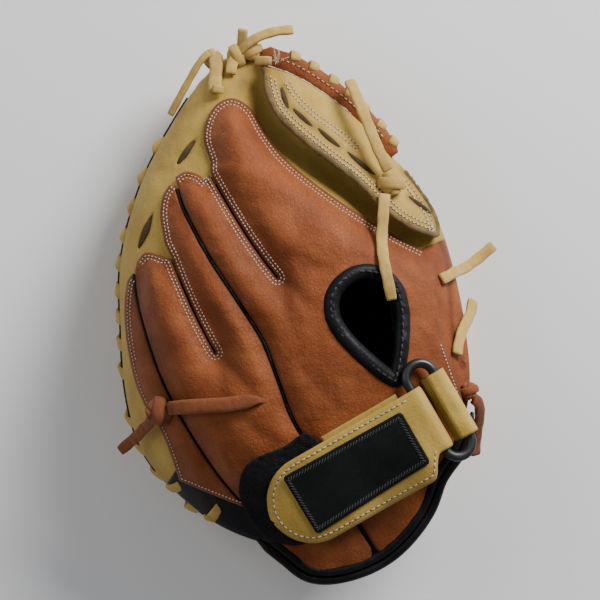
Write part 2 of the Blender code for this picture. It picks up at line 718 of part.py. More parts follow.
# Pipings and bindings.
middle_seam = even(smooth(MIDDLE_SEAM, 5), 7)
above_strap = middle_seam[middle_seam[:, 1] > STRAP_TOP + 7][1:]
below_strap = middle_seam[middle_seam[:, 1] < STRAP_BOTTOM - 3][:-1]
little_seam = even(smooth(LITTLE_SEAM, 5), 7)
little_seam = little_seam[little_seam[:, 1] > STRAP_TOP + 14][1:]
for node, seam in (("piping_middle", above_strap), ("piping_wrist", below_strap),
                   ("piping_little", little_seam)):
    tube(node, "root", "black", np.column_stack([seam, back_top(seam[:, 0], seam[:, 1]) - 1.0]),
         PIPING_RADIUS, sides=2)
hole_line = inset(even(smooth(FINGER_HOLE, 5, closed=True), 7, closed=True)[::-1],
                  HOLE_BINDING_RADIUS + 1.2)
hole_edge = inset(hole_line, -HOLE_BINDING_RADIUS)
tube("finger_hole_binding", "root", "black",
     np.column_stack([hole_line, back_top(hole_edge[:, 0], hole_edge[:, 1]) - 1.6]),
     HOLE_BINDING_RADIUS, closed=True)
wrist_path = beside(even(smooth(WRIST_EDGE, 5), 8), BINDING_RADIUS + CLEARANCE)
tube("wrist_binding", "root", "black",
     np.column_stack([wrist_path, back_top(wrist_path[:, 0], wrist_path[:, 1]) - 1.3]), BINDING_RADIUS)
heel_turns = np.radians(np.arange(228, 289, 4))
heel_line = [(*at(a, rim_radius(a) - 1.3), palm_path(a)[0, 1] + BINDING_RADIUS + CLEARANCE)
             for a in heel_turns]
tube("heel_binding", "root", "black", heel_line, BINDING_RADIUS)

# The web: a flap over the recess, its top roll and the lace round the roll.
roll = even(smooth(WEB_ROLL, 6), 6)
flap_side = beside(roll, -(ROLL_RADIUS + 4.2))[1:]


def web_low(x, y):
    away = distance(x, y, WEB_ROLL)
    return dome(x, y, recess=False) + 2.0 + 6.0 * ease((away - 12) / 26)


web_outline = np.vstack([smooth(WEB_FLAP[:12], 3), flap_side[::-1]])
slab("web_back_panel", "thumb", "tan", web_outline, web_low, above(web_low, LEATHER))
side = beside(roll, -(ROLL_RADIUS + 4.2))
roll_z = web_low(side[:, 0], side[:, 1]) + ROLL_RADIUS - 8.0
tube("web_top_roll", "thumb", "rust", np.column_stack([roll, roll_z]), ROLL_RADIUS)
turns = 7
steps = turns * 9
along = np.linspace(0.06, 0.94, steps + 1) * (len(roll) - 1)
spine = np.column_stack([np.interp(along, np.arange(len(roll)), roll[:, 0]),
                         np.interp(along, np.arange(len(roll)), roll[:, 1]),
                         np.interp(along, np.arange(len(roll)), roll_z)])
ahead = np.gradient(spine, axis=0)
ahead /= np.linalg.norm(ahead, axis=1)[:, None]
across = np.column_stack([-ahead[:, 1], ahead[:, 0], np.zeros(steps + 1)])
across /= np.linalg.norm(across, axis=1)[:, None]
spin = np.linspace(0, turns * 2 * math.pi, steps + 1)[:, None]
out = across * np.cos(spin) + np.cross(ahead, across) * np.sin(spin)
ribbon("web_top_lace", "thumb", "tan", spine + out * (ROLL_RADIUS + 2.1), out, width=6.0, thickness=2.0)

# The wrist strap: its fixed run, the ring in its keeper, and the flap with its tapes and patch.
slab("strap_base", "root", "tan", [(-30, -127), (BAR_X - 9, -127), (BAR_X - 9, -76), (-30, -76)],
     above(cover, CLEARANCE), above(cover, CLEARANCE + STRAP_LEATHER), spacing=14)
slab("loop_pad", "root", "fabric",
     smooth([(-33, -126), (-33, -74), (-52, -70), (-74, -68), (-87, -78), (-91, -93), (-90, -107),
             (-83, -119), (-68, -127)], 2, closed=True),
     above(cover, 2 * CLEARANCE), above(cover, CLEARANCE + TAPE), spacing=14)
slab("hook_tape", "strap", "fabric", [(-71, -120), (-36, -122), (-36, -90), (-71, -92)],
     above(cover, 2 * CLEARANCE + TAPE), above(cover, 2 * CLEARANCE + 2 * TAPE), spacing=14)
wrap = BAR_RADIUS + CLEARANCE + STRAP_LEATHER / 2
half = (STRAP_TOP - STRAP_BOTTOM) / 2
rows = []
for turn in np.radians([-125, -100, -70, -40, -10, 20, 50, 72]):
    rows.append((BAR_X + wrap * math.cos(turn), BAR_Z + wrap * math.sin(turn), STRAP_WAIST))
for x in (BAR_X - 2, 20, 10, -6, -18, -30, -42, STRAP_LEFT + half, -62, -69, -74.5, -77.6, STRAP_LEFT):
    bite = max(0.0, STRAP_LEFT + half - x)
    narrow = (2 * half - STRAP_WAIST) * ease((x - 4) / 22)
    rows.append((x, None, max(5.0, 2 * math.sqrt(max(0.0, half**2 - bite**2)) - narrow)))
spread = np.linspace(-1, 1, 9)
skin = []
for x, z, width in rows:
    bite = half - math.sqrt(max(0.0, half**2 - max(0.0, STRAP_LEFT + half - x) ** 2))
    ys = STRAP_TOP - min(bite, half - 2.5) - width / 2 + spread * width / 2
    zs = np.full(9, z) if z is not None else flap_under(x, ys) + STRAP_LEATHER / 2
    skin.append(np.column_stack([np.full(9, x), ys, zs]))
skin = np.array(skin)
forward = np.gradient(skin, axis=0)
normal = np.dstack([-forward[..., 2], np.zeros(forward.shape[:2]), forward[..., 0]])
normal /= np.linalg.norm(normal, axis=2)[..., None]
grid_solid("strap_flap", "strap", "tan", skin + normal * STRAP_LEATHER / 2,
           skin - normal * STRAP_LEATHER / 2)
patch_low = above(flap_under, STRAP_LEATHER + CLEARANCE + 0.4)
slab("strap_patch", "strap", "fabric", [(-61, -126), (19, -122), (19, -86), (-62, -85)], patch_low,
     above(patch_low, PATCH), spacing=13)
corner = BAR_SPAN / 2
ring_middle = BAR_X + corner
slope = (PIVOT_Z - BAR_Z) / BAR_SPAN
reach = RING_LENGTH / 2 - corner
ring_y = STRAP_TOP - STRAP_WAIST / 2 + 2
oval = [(ring_middle + corner * math.cos(t), ring_y + (reach if t < math.pi else -reach)
         + corner * math.sin(t)) for t in np.radians(np.arange(0, 360, 22.5) + 11.25)]
oval = [(x, y, BAR_Z + slope * (x - BAR_X)) for x, y in oval]
tube("strap_ring", "ring", "plastic", oval, BAR_RADIUS, closed=True)
pivot_x = BAR_X + BAR_SPAN
hug = [(pivot_x + wrap * math.cos(t), PIVOT_Z + wrap * math.sin(t))
       for t in np.radians(np.arange(-90, 91, 22.5))]
strip("ring_keeper", "root", "tan", [(pivot_x - 6, PIVOT_Z - wrap)] + hug + [(pivot_x - 5, PIVOT_Z + wrap)],
      STRAP_LEATHER, (-118, 0), (-77, 0))

# Laces. The tails hang free, so each is a cord that starts at its knot or hole.


def knot(name, body, finish, centre, size):
    bm = bmesh.new()
    bmesh.ops.create_icosphere(bm, subdivisions=2, radius=1.0)
    bmesh.ops.scale(bm, vec=size, verts=bm.verts)
    bmesh.ops.translate(bm, vec=centre, verts=bm.verts)
    return add(name, body, finish, bm)


def rim_lace_path():
    points = []
    for a in np.radians(np.arange(78, 208, 4.5)):
        r = float(rim_radius(a)) - 2.4 + 1.4 * math.cos(a * 34)
        points.append((*at(a, r), palm_path(a)[0, 1] + CLEARANCE + LACE_THICKNESS / 2 + 0.15))
    return np.array(points)


ribbon("rim_lace", "root", "tan", rim_lace_path(), (0, 0, 1))


def web_top(x, y):
    return web_low(x, y) + LEATHER


knot("web_knot", "thumb", "tan", (82, 33, float(web_top(82, 33)) + 8.0), (7, 6, 4.5))
knot("top_knot_web", "thumb", "tan", (50.5, 144.1, roll_z[0]), (5.2, 4.6, 5.0))
knot("top_knot_index", "root", "tan", (27.4, 152.8, 38), (7, 4.6, 5))
knot("wrist_knot", "root", "rust", (60, -97, float(dome(60, -97)) + 5.2), (4.8, 5, 4))
run = even([(-49, -40), (-60, -35), (-70, -31), (-80, -26), (-90, -21), (-99, -17)], 6)
ribbon("little_lace", "root", "rust",
       np.column_stack([run, cover(run[:, 0], run[:, 1]) + LACE_THICKNESS / 2 + CLEARANCE]), (0, 0, 1))
knot("little_knot", "root", "rust", (-105.6, -15, float(cover(-105.6, -15)) + 5.2), (5, 6, 4.4))
strip("little_finger_loop", "root", "tan", [(-62, 64.2), (-61, 72), (-55, 77), (-46, 77), (-40, 72),
                                            (-39, 64.2)], 2.0, (15, 0), (35, 0))
TAILS = {
    "web_tail_up": ("thumb", [(84, 41, 88), (84.5, 46, 90.5), (85, 53, 91), (86, 60, 89.5),
                              (87, 67, 88), (88, 74, 86.5), (89, 81, 84.5), (90, 88, 81.5),
                              (91, 95, 76), (91, 99, 72.5)]),
    "web_tail_down": ("thumb", [(75, 29, 92.5), (72, 25, 95.5), (68, 19, 98.5), (64, 13, 99.5),
                                (60, 7, 101.5), (56, -1, 108), (53, -9, 112.5), (50, -18, 113.5),
                                (47, -27, 112)]),
    "thumb_tail_upper": ("thumb", [(79.5, -31.5, 75.4), (84, -32, 70.5), (88, -32, 65), (92, -32.5, 59),
                                   (97, -33, 54.5), (103, -32.5, 51), (110, -31.5, 48), (118, -30, 46)]),
    "thumb_tail_lower": ("thumb", [(65, -75, 85.3), (68, -71, 83), (72, -67, 79.5), (77, -63, 74.5),
                                   (82, -60, 69), (86, -57, 64), (90, -52, 60)]),
    "wrist_tail": ("root", [(60.5, -103, 87), (61.5, -107, 81), (59, -113.5, 72), (54, -120.5, 63),
                            (49, -127.5, 56), (45, -134, 52)]),
    "little_tail": ("root", [(-111, -17, 92.5), (-115, -19, 87), (-119.5, -20, 81), (-124, -21.5, 75),
                             (-129, -22.5, 69), (-134, -23.5, 64), (-139, -24.5, 60)]),
}
for node, (body, points) in TAILS.items():
    tube(node, body, "rust" if node in ("wrist_tail", "little_tail") else "tan", points, CORD_RADIUS)


def settle():
    """Moves the mitt so that its base's centre is at the origin. The free tails don't count."""
    bpy.context.view_layer.update()
    graph = bpy.context.evaluated_depsgraph_get()
    corners = []
    for node, obj in nodes.items():
        if node in TAILS:
            continue
        solid = obj.evaluated_get(graph)
        corners += [tuple(solid.matrix_world @ v.co) for v in solid.to_mesh().vertices]
        solid.to_mesh_clear()
    low, high = np.min(corners, axis=0), np.max(corners, axis=0)
    bodies["root"].location -= Vector(((low[0] + high[0]) / 2, (low[1] + high[1]) / 2, low[2]))


settle()
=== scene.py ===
"""Looks for the catcher's mitt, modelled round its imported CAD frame.

Lengths are millimetres in the mitt's own layout, the same as in the CAD source, and become metres
when a mesh is made. +Y runs from the wrist to the fingertips, +X to the thumb, +Z out of the back.
"""
import math

import bmesh
import bpy
import numpy as np
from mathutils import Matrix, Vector
from mathutils.geometry import delaunay_2d_cdt


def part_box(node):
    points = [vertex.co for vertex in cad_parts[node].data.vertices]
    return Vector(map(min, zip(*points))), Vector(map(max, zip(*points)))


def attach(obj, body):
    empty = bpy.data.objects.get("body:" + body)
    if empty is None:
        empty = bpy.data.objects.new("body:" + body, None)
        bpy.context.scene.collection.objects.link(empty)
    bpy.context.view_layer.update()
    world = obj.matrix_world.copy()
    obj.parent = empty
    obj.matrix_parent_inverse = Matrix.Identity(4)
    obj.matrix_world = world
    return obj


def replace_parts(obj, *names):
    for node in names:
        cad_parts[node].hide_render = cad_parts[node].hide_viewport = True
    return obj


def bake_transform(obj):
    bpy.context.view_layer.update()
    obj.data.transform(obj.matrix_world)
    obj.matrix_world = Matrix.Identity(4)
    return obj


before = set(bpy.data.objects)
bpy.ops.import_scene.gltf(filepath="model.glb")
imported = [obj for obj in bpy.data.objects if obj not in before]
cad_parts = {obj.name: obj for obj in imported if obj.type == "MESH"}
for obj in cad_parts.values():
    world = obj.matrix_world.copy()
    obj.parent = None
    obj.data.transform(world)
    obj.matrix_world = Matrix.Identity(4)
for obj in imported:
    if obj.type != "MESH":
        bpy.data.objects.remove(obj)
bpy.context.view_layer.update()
MM = 0.001
WEB_KNOT = (82, 33)

# The part was moved in X and Y, and the web's knot in the frame tells how far.
knot_low, knot_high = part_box("web_knot")
SHIFT = np.array([(low + high) / 2 - place * MM
                  for low, high, place in zip(knot_low, knot_high, WEB_KNOT)] + [0.0])
rng = np.random.default_rng(7)

LEATHER = 2.6
UP = (0, 0, 1)
CENTRE = (-12.0, 2.0)
RIM_HEIGHT, RIM_HALF_WIDTH, LACE_EDGE_HEIGHT = 32.0, 17.0, 24.0
POCKET_DEPTH, POCKET_SLOPE, PAD_TOP = 52.0, 74.0, 61.5
BACK_HEIGHT, BACK_PEAK = 107.0, (-15.0, -40.0)
BACK_FALL_X, BACK_FALL_Y, DOME_POWER = 0.0008, 0.0010, 2.7
RECESS_DEPTH, RECESS_WIDTH = 15.0, 13.0
WEB_ANGLES, WRIST_ANGLES = (0.0, 68.0), (216.0, 312.0)
WEB_SETBACK, WEB_LIFT, WEB_EDGE_RISE, HEEL_RISE = 22.0, 26.0, 22.0, 26.0
BAND_INNER = 0.62
PANEL_LIFT = 1.1
PUFF_HEIGHT, PUFF_WIDTH, SEAM_DEPTH, SEAM_WIDTH = 9.0, 11.0, 5.0, 7.0
BAR_X, BAR_SPAN, BAR_Z, PIVOT_Z = 30.0, 17.0, 116.276, 112.165
STRAP_LEFT, STRAP_TOP, STRAP_BOTTOM, STRAP_WAIST = -79.0, -79.0, -132.0, 40.0
LACE_WIDTH, LACE_THICKNESS = 6.6, 2.3

RIM = [(97, 0), (99, 35), (97, 72), (84, 106), (62, 138), (38, 150), (16, 146), (-10, 134),
       (-48, 110), (-82, 76), (-104, 38), (-121, 2), (-129, -32), (-122, -66), (-104, -98),
       (-76, -126), (-40, -138), (0, -136), (36, -122), (60, -98), (76, -68), (88, -36)]
BACK_EDGE = [(97, 0), (99, 35), (97, 72), (84, 106), (62, 138), (38, 150), (16, 146), (-10, 134),
             (-48, 110), (-82, 76), (-104, 38), (-121, 2), (-129, -32), (-124, -70), (-122, -120),
             (-100, -180), (-40, -215), (30, -205), (72, -160), (82, -110), (84, -70), (90, -36)]
MIDDLE_SEAM = [(-30, 97), (-33, 80), (-34, 50), (-32, 15), (-31, -10), (-35, -35), (-39, -60),
               (-38, -90), (-37, -120), (-36, -152)]
LITTLE_SEAM = [(-78, 64), (-84, 50), (-91, 22), (-95, -3), (-96, -35), (-94, -68), (-89, -92)]
INDEX_SLOT = [(-9, 92), (-9, 70), (-8.5, 50), (-7, 32), (-5, 18)]
RING_SLOT = [(-54, 60), (-56, 45), (-58, 26), (-59, 8), (-59, -2)]
INDEX_EDGE = [(-5, 98), (-2, 112), (6, 122), (16, 127), (26, 125), (32, 114), (32, 96), (35, 76),
              (44, 52), (56, 27), (69, 4), (79, -11)]
THUMB_SEAM = [(79, -11), (79, -24), (70, -42), (63, -58), (59, -76), (56, -92), (52, -106)]
WRIST_EDGE = [(52, -106), (38, -121), (18, -131), (2, -144), (-18, -153), (-38, -156), (-60, -152),
              (-75, -143), (-82, -127), (-89, -109)]
MIDDLE_TIP = [(-13, 86), (-15, 95), (-21, 101), (-30, 100), (-38, 96), (-45, 88), (-51, 76), (-53, 66)]
LITTLE_TIP = [(-57, 56), (-59, 64), (-66, 71), (-75, 69), (-86, 60), (-95, 47), (-103, 30),
              (-110, 8), (-112, -8), (-111, -24), (-113, -40), (-117, -58)]
LITTLE_FOOT = [(-117, -58), (-108, -69), (-99, -80), (-89, -92)]
FINGER_HOLE = [(36, 1), (46, -3), (54, -12), (56, -25), (51, -40), (41, -56), (31, -68), (24, -73),
               (18, -64), (12, -48), (8, -32), (8, -18), (14, -6), (24, 0)]
RECESS_LINE = [(44, 130), (39, 108), (44, 84), (56, 58), (65, 34), (71, 14), (84, -4)]
WEB_FLAP = [(50, 132), (44, 116), (43, 101), (48, 83), (56, 62), (63, 46), (68, 29), (73, 13),
            (82, -1), (91, -8), (96.5, 4), (96, 22), (94, 36)]
WEB_ROLL = [(54, 140), (69, 122), (81, 98), (89.5, 71), (93, 47)]


# Lines.


def smooth(points, steps, closed=False):
    """A Catmull-Rom curve through the points."""
    p = np.array(points, float)
    if closed:
        p = np.vstack([p[-1], p, p[0], p[1]])
    else:
        p = np.vstack([2 * p[0] - p[1], p, 2 * p[-1] - p[-2]])
    t = np.arange(steps)[:, None] / steps
    parts = []
    for a, b, c, d in zip(p[:-3], p[1:-2], p[2:-1], p[3:]):
        parts.append(0.5 * (2 * b + (c - a) * t + (2 * a - 5 * b + 4 * c - d) * t**2
                            + (3 * b - a - 3 * c + d) * t**3))
    curve = np.vstack(parts)
    return curve if closed else np.vstack([curve, p[-2]])


def even(points, spacing, closed=False):
    """The line again, with points as near to the spacing apart as fits."""
    p = np.array(points, float)
    if closed:
        p = np.vstack([p, p[0]])
    along = np.concatenate([[0], np.cumsum(np.linalg.norm(np.diff(p, axis=0), axis=1))])
    count = max(3, round(along[-1] / spacing))
    at_ = np.linspace(0, along[-1], count + 1)
    line = np.stack([np.interp(at_, along, p[:, k]) for k in range(p.shape[1])], axis=1)
    return line[:-1] if closed else line


def distance(x, y, line):
    """How far each (x, y) is from the line of straight stretches."""
    x, y = np.broadcast_arrays(np.asarray(x, float), np.asarray(y, float))
    q = np.stack([x.ravel(), y.ravel()], axis=1)
    best = np.full(len(q), 1e18)
    line = np.array(line, float)
    for a, b in zip(line[:-1], line[1:]):
        ab = b - a
        t = np.clip(((q - a) @ ab) / max(ab @ ab, 1e-12), 0, 1)
        off = q - a - t[:, None] * ab
        best = np.minimum(best, (off * off).sum(axis=1))
    return np.sqrt(best).reshape(x.shape)


def inside(x, y, loop):
    x, y = np.asarray(x, float), np.asarray(y, float)
    hits = np.zeros(x.shape, bool)
    for (ax, ay), (bx, by) in zip(loop, np.roll(loop, -1, axis=0)):
        crosses = (ay > y) != (by > y)
        span = by - ay if by != ay else 1e-12
        hits ^= crosses & (x < (bx - ax) * (y - ay) / span + ax)
    return hits


def beside(line, amount, closed=False):
    """The line moved to the left of its own direction."""
    p = np.array(line, float)
    ahead = (np.roll(p, -1, axis=0) - np.roll(p, 1, axis=0)) if closed else np.gradient(p, axis=0)
    ahead = ahead / np.maximum(np.linalg.norm(ahead, axis=1), 1e-9)[:, None]
    return p + amount * np.column_stack([-ahead[:, 1], ahead[:, 0]])


def radius_of(points):
    dense = smooth(points, 10, closed=True) - np.array(CENTRE)
    angle = np.arctan2(dense[:, 1], dense[:, 0])
    radius = np.hypot(dense[:, 0], dense[:, 1])
    order = np.argsort(angle)
    return lambda a: np.interp(a, angle[order], radius[order], period=2 * math.pi)


rim_radius = radius_of(RIM)
edge_radius = radius_of(BACK_EDGE)


def ease(t):
    t = np.clip(t, 0, 1)
    return t * t * (3 - 2 * t)


def share(a, span, ramp=11.0):
    """1 inside the span of degrees, 0 outside it, and between over the ramp."""
    middle, half = (span[0] + span[1]) / 2, (span[1] - span[0]) / 2
    off = np.abs((np.degrees(a) - middle + 180) % 360 - 180)
    return ease((half - off) / ramp)


# Heights.


def waves(x, y, scale, seed, octaves=3):
    """Smooth random height, about -1 to 1, with features scale millimetres across."""
    draw = np.random.default_rng(seed)
    total = np.zeros(np.broadcast(x, y).shape)
    weight, size = 1.0, 0.0
    for _ in range(octaves):
        for _ in range(6):
            turn, phase = draw.uniform(0, 2 * math.pi, 2)
            k = 2 * math.pi / scale * draw.uniform(0.7, 1.3)
            total = total + weight * np.sin(k * (x * math.cos(turn) + y * math.sin(turn)) + phase)
        size += weight * 2.4
        weight, scale = weight * 0.5, scale * 0.5
    return total / size


def dome(x, y, recess=True):
    """The hand's space seen from above, as in the CAD source."""
    x, y = np.asarray(x, float), np.asarray(y, float)
    dx, dy = x - CENTRE[0], y - CENTRE[1]
    rho = np.clip(np.hypot(dx, dy) / edge_radius(np.arctan2(dy, dx)), 0, 1)
    top = (BACK_HEIGHT - BACK_FALL_X * (x - BACK_PEAK[0]) ** 2
           - BACK_FALL_Y * (y - BACK_PEAK[1]) ** 2)
    z = RIM_HEIGHT + (top - RIM_HEIGHT) * (1 - rho**DOME_POWER) ** (1 / DOME_POWER)
    if recess:
        depth = RECESS_DEPTH * ease((1 - rho) / 0.2)
        z = z - depth * np.exp(-(distance(x, y, RECESS_LINE) / RECESS_WIDTH) ** 2)
    return z


PANEL_EDGES = [INDEX_EDGE, MIDDLE_TIP, LITTLE_TIP, LITTLE_FOOT]
STALL_EDGES = [INDEX_EDGE, INDEX_SLOT, RING_SLOT, MIDDLE_TIP, LITTLE_TIP, LITTLE_FOOT]


def panel_seat(x, y):
    """The inner face of the back panels."""
    dx, dy = np.asarray(x, float) - CENTRE[0], np.asarray(y, float) - CENTRE[1]
    rho = np.hypot(dx, dy) / edge_radius(np.arctan2(dy, dx))
    return dome(x, y) + PANEL_LIFT + 6 * np.clip(rho - 0.75, 0, 0.25)


def back_top(x, y, seams=True):
    """The outer face of the back panels, swollen by the felt between its sewn edges."""
    near = np.min([distance(x, y, line) for line in STALL_EDGES], axis=0)
    puff = PUFF_HEIGHT * (1 - np.exp(-((near / PUFF_WIDTH) ** 2)))
    for seam in (MIDDLE_SEAM, LITTLE_SEAM) if seams else ():
        puff = puff - SEAM_DEPTH * np.exp(-((distance(x, y, seam) / SEAM_WIDTH) ** 2))
    wrist = ease((-40 - np.asarray(y, float)) / 60)
    puff = np.maximum(puff, 0) * (1 - 0.6 * wrist)
    return panel_seat(x, y) + LEATHER + puff


def cover(x, y):
    """The back's face under what lies on top of it, with no seams."""
    return back_top(x, y, seams=False)


def flap_under(x, y):
    """The strap's underside, from the back up to the ring's bar."""
    to_bar = ease((np.asarray(x, float) - BAR_X + 50) / 44)
    return (cover(x, y) + 5.5) * (1 - to_bar) + (BAR_Z + 3.1) * to_bar


def web_low(x, y):
    """The inner face of the web's back panel."""
    away = distance(x, y, WEB_ROLL)
    return dome(x, y, recess=False) + 2.0 + 6.0 * ease((away - 12) / 26)


def at(a, r):
    return CENTRE[0] + r * np.cos(a), CENTRE[1] + r * np.sin(a)


def outer_edge(a):
    return rim_radius(a) - WEB_SETBACK * share(a, WEB_ANGLES)


# Meshes.


def link(obj):
    bpy.context.scene.collection.objects.link(obj)
    return obj


def make(name, verts, faces, material, attributes=None):
    """An object from millimetres in the mitt's layout, with its vertex attributes."""
    mesh = bpy.data.meshes.new(name)
    mesh.from_pydata((np.asarray(verts, float) * MM + SHIFT).tolist(), [],
                     faces.tolist() if isinstance(faces, np.ndarray) else faces)
    mesh.shade_smooth()
    for key, values in (attributes or {}).items():
        layer = mesh.attributes.new(key, "FLOAT", "POINT")
        layer.data.foreach_set("value", np.asarray(values, np.float32))
    mesh.materials.append(material)
    return link(bpy.data.objects.new(name, mesh))


def merged(parts):
    """Several (verts, faces) as one."""
    verts, faces, start = [], [], 0
    for v, f in parts:
        verts.append(np.asarray(v, float))
        faces += [[i + start for i in face] for face in f]
        start += len(v)
    return np.vstack(verts), faces


def grid_faces(rows, columns, wrap_rows=False, wrap_columns=False):
    """Faces between the rows of a grid, whose last row or column may join the first."""
    faces = []
    for i in range(rows if wrap_rows else rows - 1):
        for j in range(columns if wrap_columns else columns - 1):
            a, b = i * columns + j, i * columns + (j + 1) % columns
            c, d = (i + 1) % rows * columns + (j + 1) % columns, (i + 1) % rows * columns + j
            faces.append([a, b, c, d])
    return faces


def thicken(obj, thickness, offset=-1.0):
    solid = obj.modifiers.new("Thickness", "SOLIDIFY")
    solid.thickness = thickness * MM
    solid.offset = offset
    solid.use_even_offset = False
    return obj


def frames(points, up, closed=False):
    """Points, and at each its way ahead, to the side and off the face."""
    p = np.array(points, float)
    ahead = (np.roll(p, -1, axis=0) - np.roll(p, 1, axis=0)) if closed else np.gradient(p, axis=0)
    ahead = ahead / np.maximum(np.linalg.norm(ahead, axis=1), 1e-9)[:, None]
    up = np.broadcast_to(np.array(up, float), p.shape)
    side = np.cross(up, ahead)
    side = side / np.maximum(np.linalg.norm(side, axis=1), 1e-9)[:, None]
    return p, ahead, side, np.cross(ahead, side)


def sweep(points, up, profile, closed=False, scale=None):
    """(verts, faces) of a closed profile of (across, up) carried along the points."""
    p, _, side, face = frames(points, up, closed)
    profile = np.array(profile, float)
    scale = np.ones(len(p)) if scale is None else np.asarray(scale, float)
    rings = (p[:, None] + profile[None, :, :1] * side[:, None] * scale[:, None, None]
             + profile[None, :, 1:] * face[:, None] * scale[:, None, None])
    rows, columns = len(p), len(profile)
    faces = grid_faces(rows, columns, closed, True)
    if not closed:
        faces.append(list(range(columns))[::-1])
        faces.append([(rows - 1) * columns + j for j in range(columns)])
    return rings.reshape(-1, 3), faces


def from_end(count):
    """How many steps each of count points is from the nearer end."""
    steps = np.arange(count)
    return np.minimum(steps, steps[::-1])


def round_profile(radius, sides=14, flatten=1.0):
    turn = np.arange(sides) * 2 * math.pi / sides
    return np.column_stack([radius * np.cos(turn), radius * flatten * np.sin(turn)])


def strap_profile(width, thickness, bulge=0.0):
    w, t = width / 2, thickness / 2
    return [(-w, -t * 0.6), (-w * 0.94, -t), (0, -t), (w * 0.94, -t), (w, -t * 0.6), (w, t * 0.5),
            (w * 0.93, t * 0.92), (w * 0.5, t + bulge * 0.7), (0, t + bulge), (-w * 0.5, t + bulge * 0.7),
            (-w * 0.93, t * 0.92), (-w, t * 0.5)]


def polar_shell(first, last, step, profile):
    """A sheet round CENTRE. profile(angle) gives its cut as (radius, z); all cuts are as long."""
    full = last - first >= 360
    turns = np.radians(np.arange(first, last + (0 if full else step / 2), step))
    rings = []
    for a in turns:
        cut = profile(a)
        rings.append(np.column_stack([CENTRE[0] + cut[:, 0] * math.cos(a),
                                      CENTRE[1] + cut[:, 0] * math.sin(a), cut[:, 1]]))
    columns = len(rings[0])
    return np.vstack(rings), grid_faces(len(rings), columns, full, False)


def draped(outline, height, spacing, hole=None, rims=(0.5, 1.2, 2.2, 3.4), edge=0.9):
    """(verts, faces, distance to the edge) of a sheet on height(x, y, distance)."""
    loops = [even(outline, edge * 1.6, closed=True)]
    if hole is not None:
        loops.append(even(hole, edge * 1.6, closed=True))
    lines = [np.vstack([loop, loop[:1]]) for loop in loops]

    def near(px, py):
        return np.min([distance(px, py, line) for line in lines], axis=0)

    def within(px, py):
        keep = inside(px, py, loops[0])
        return keep & ~inside(px, py, loops[1]) if hole is not None else keep

    points = [p for loop in loops for p in loop]
    edges, start = [], 0
    for loop in loops:
        count = len(loop)
        edges += [(start + i, start + (i + 1) % count) for i in range(count)]
        start += count
    for amount in rims:
        for loop in loops:
            for sign in (1, -1):
                ring = even(beside(loop, sign * amount, closed=True), max(1.4, amount * 0.8), closed=True)
                away = near(ring[:, 0], ring[:, 1])
                keep = within(ring[:, 0], ring[:, 1]) & (away > amount * 0.93)
                points += list(ring[keep])
    low, high = loops[0].min(axis=0), loops[0].max(axis=0)
    rows = np.arange(low[1], high[1], spacing * 0.866)
    for k, gy in enumerate(rows):
        gx = np.arange(low[0], high[0], spacing) + spacing / 2 * (k % 2)
        keep = within(gx, np.full(gx.shape, gy))
        gx = gx[keep]
        if len(gx):
            gx = gx[near(gx, np.full(gx.shape, gy)) > (rims[-1] if rims else 0) + spacing * 0.6]
            points += [(px, gy) for px in gx]
    flat, _, faces, *_ = delaunay_2d_cdt([Vector(p) for p in points], edges, [], 0, 1e-4)
    xy = np.array([tuple(p) for p in flat])
    faces = np.array([list(f) for f in faces])
    middle = xy[faces].mean(axis=1)
    faces = faces[within(middle[:, 0], middle[:, 1])]
    used = np.unique(faces)
    index = np.full(len(xy), -1)
    index[used] = np.arange(len(used))
    xy, faces = xy[used], index[faces]
    away = near(xy[:, 0], xy[:, 1])
    return np.column_stack([xy, height(xy[:, 0], xy[:, 1], away)]), faces, away


def rolled(away, radius):
    """How far a sheet's face falls near its cut edge."""
    t = np.clip(away / radius, 0, 1)
    return radius * (1 - np.sqrt(1 - (1 - t) ** 2))


def bend(obj, *nodes):
    """For what crosses the thumb's fold."""
    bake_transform(obj)
    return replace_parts(obj, *nodes) if nodes else obj


def on(obj, body, *nodes):
    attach(obj, body)
    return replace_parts(obj, *nodes) if nodes else obj
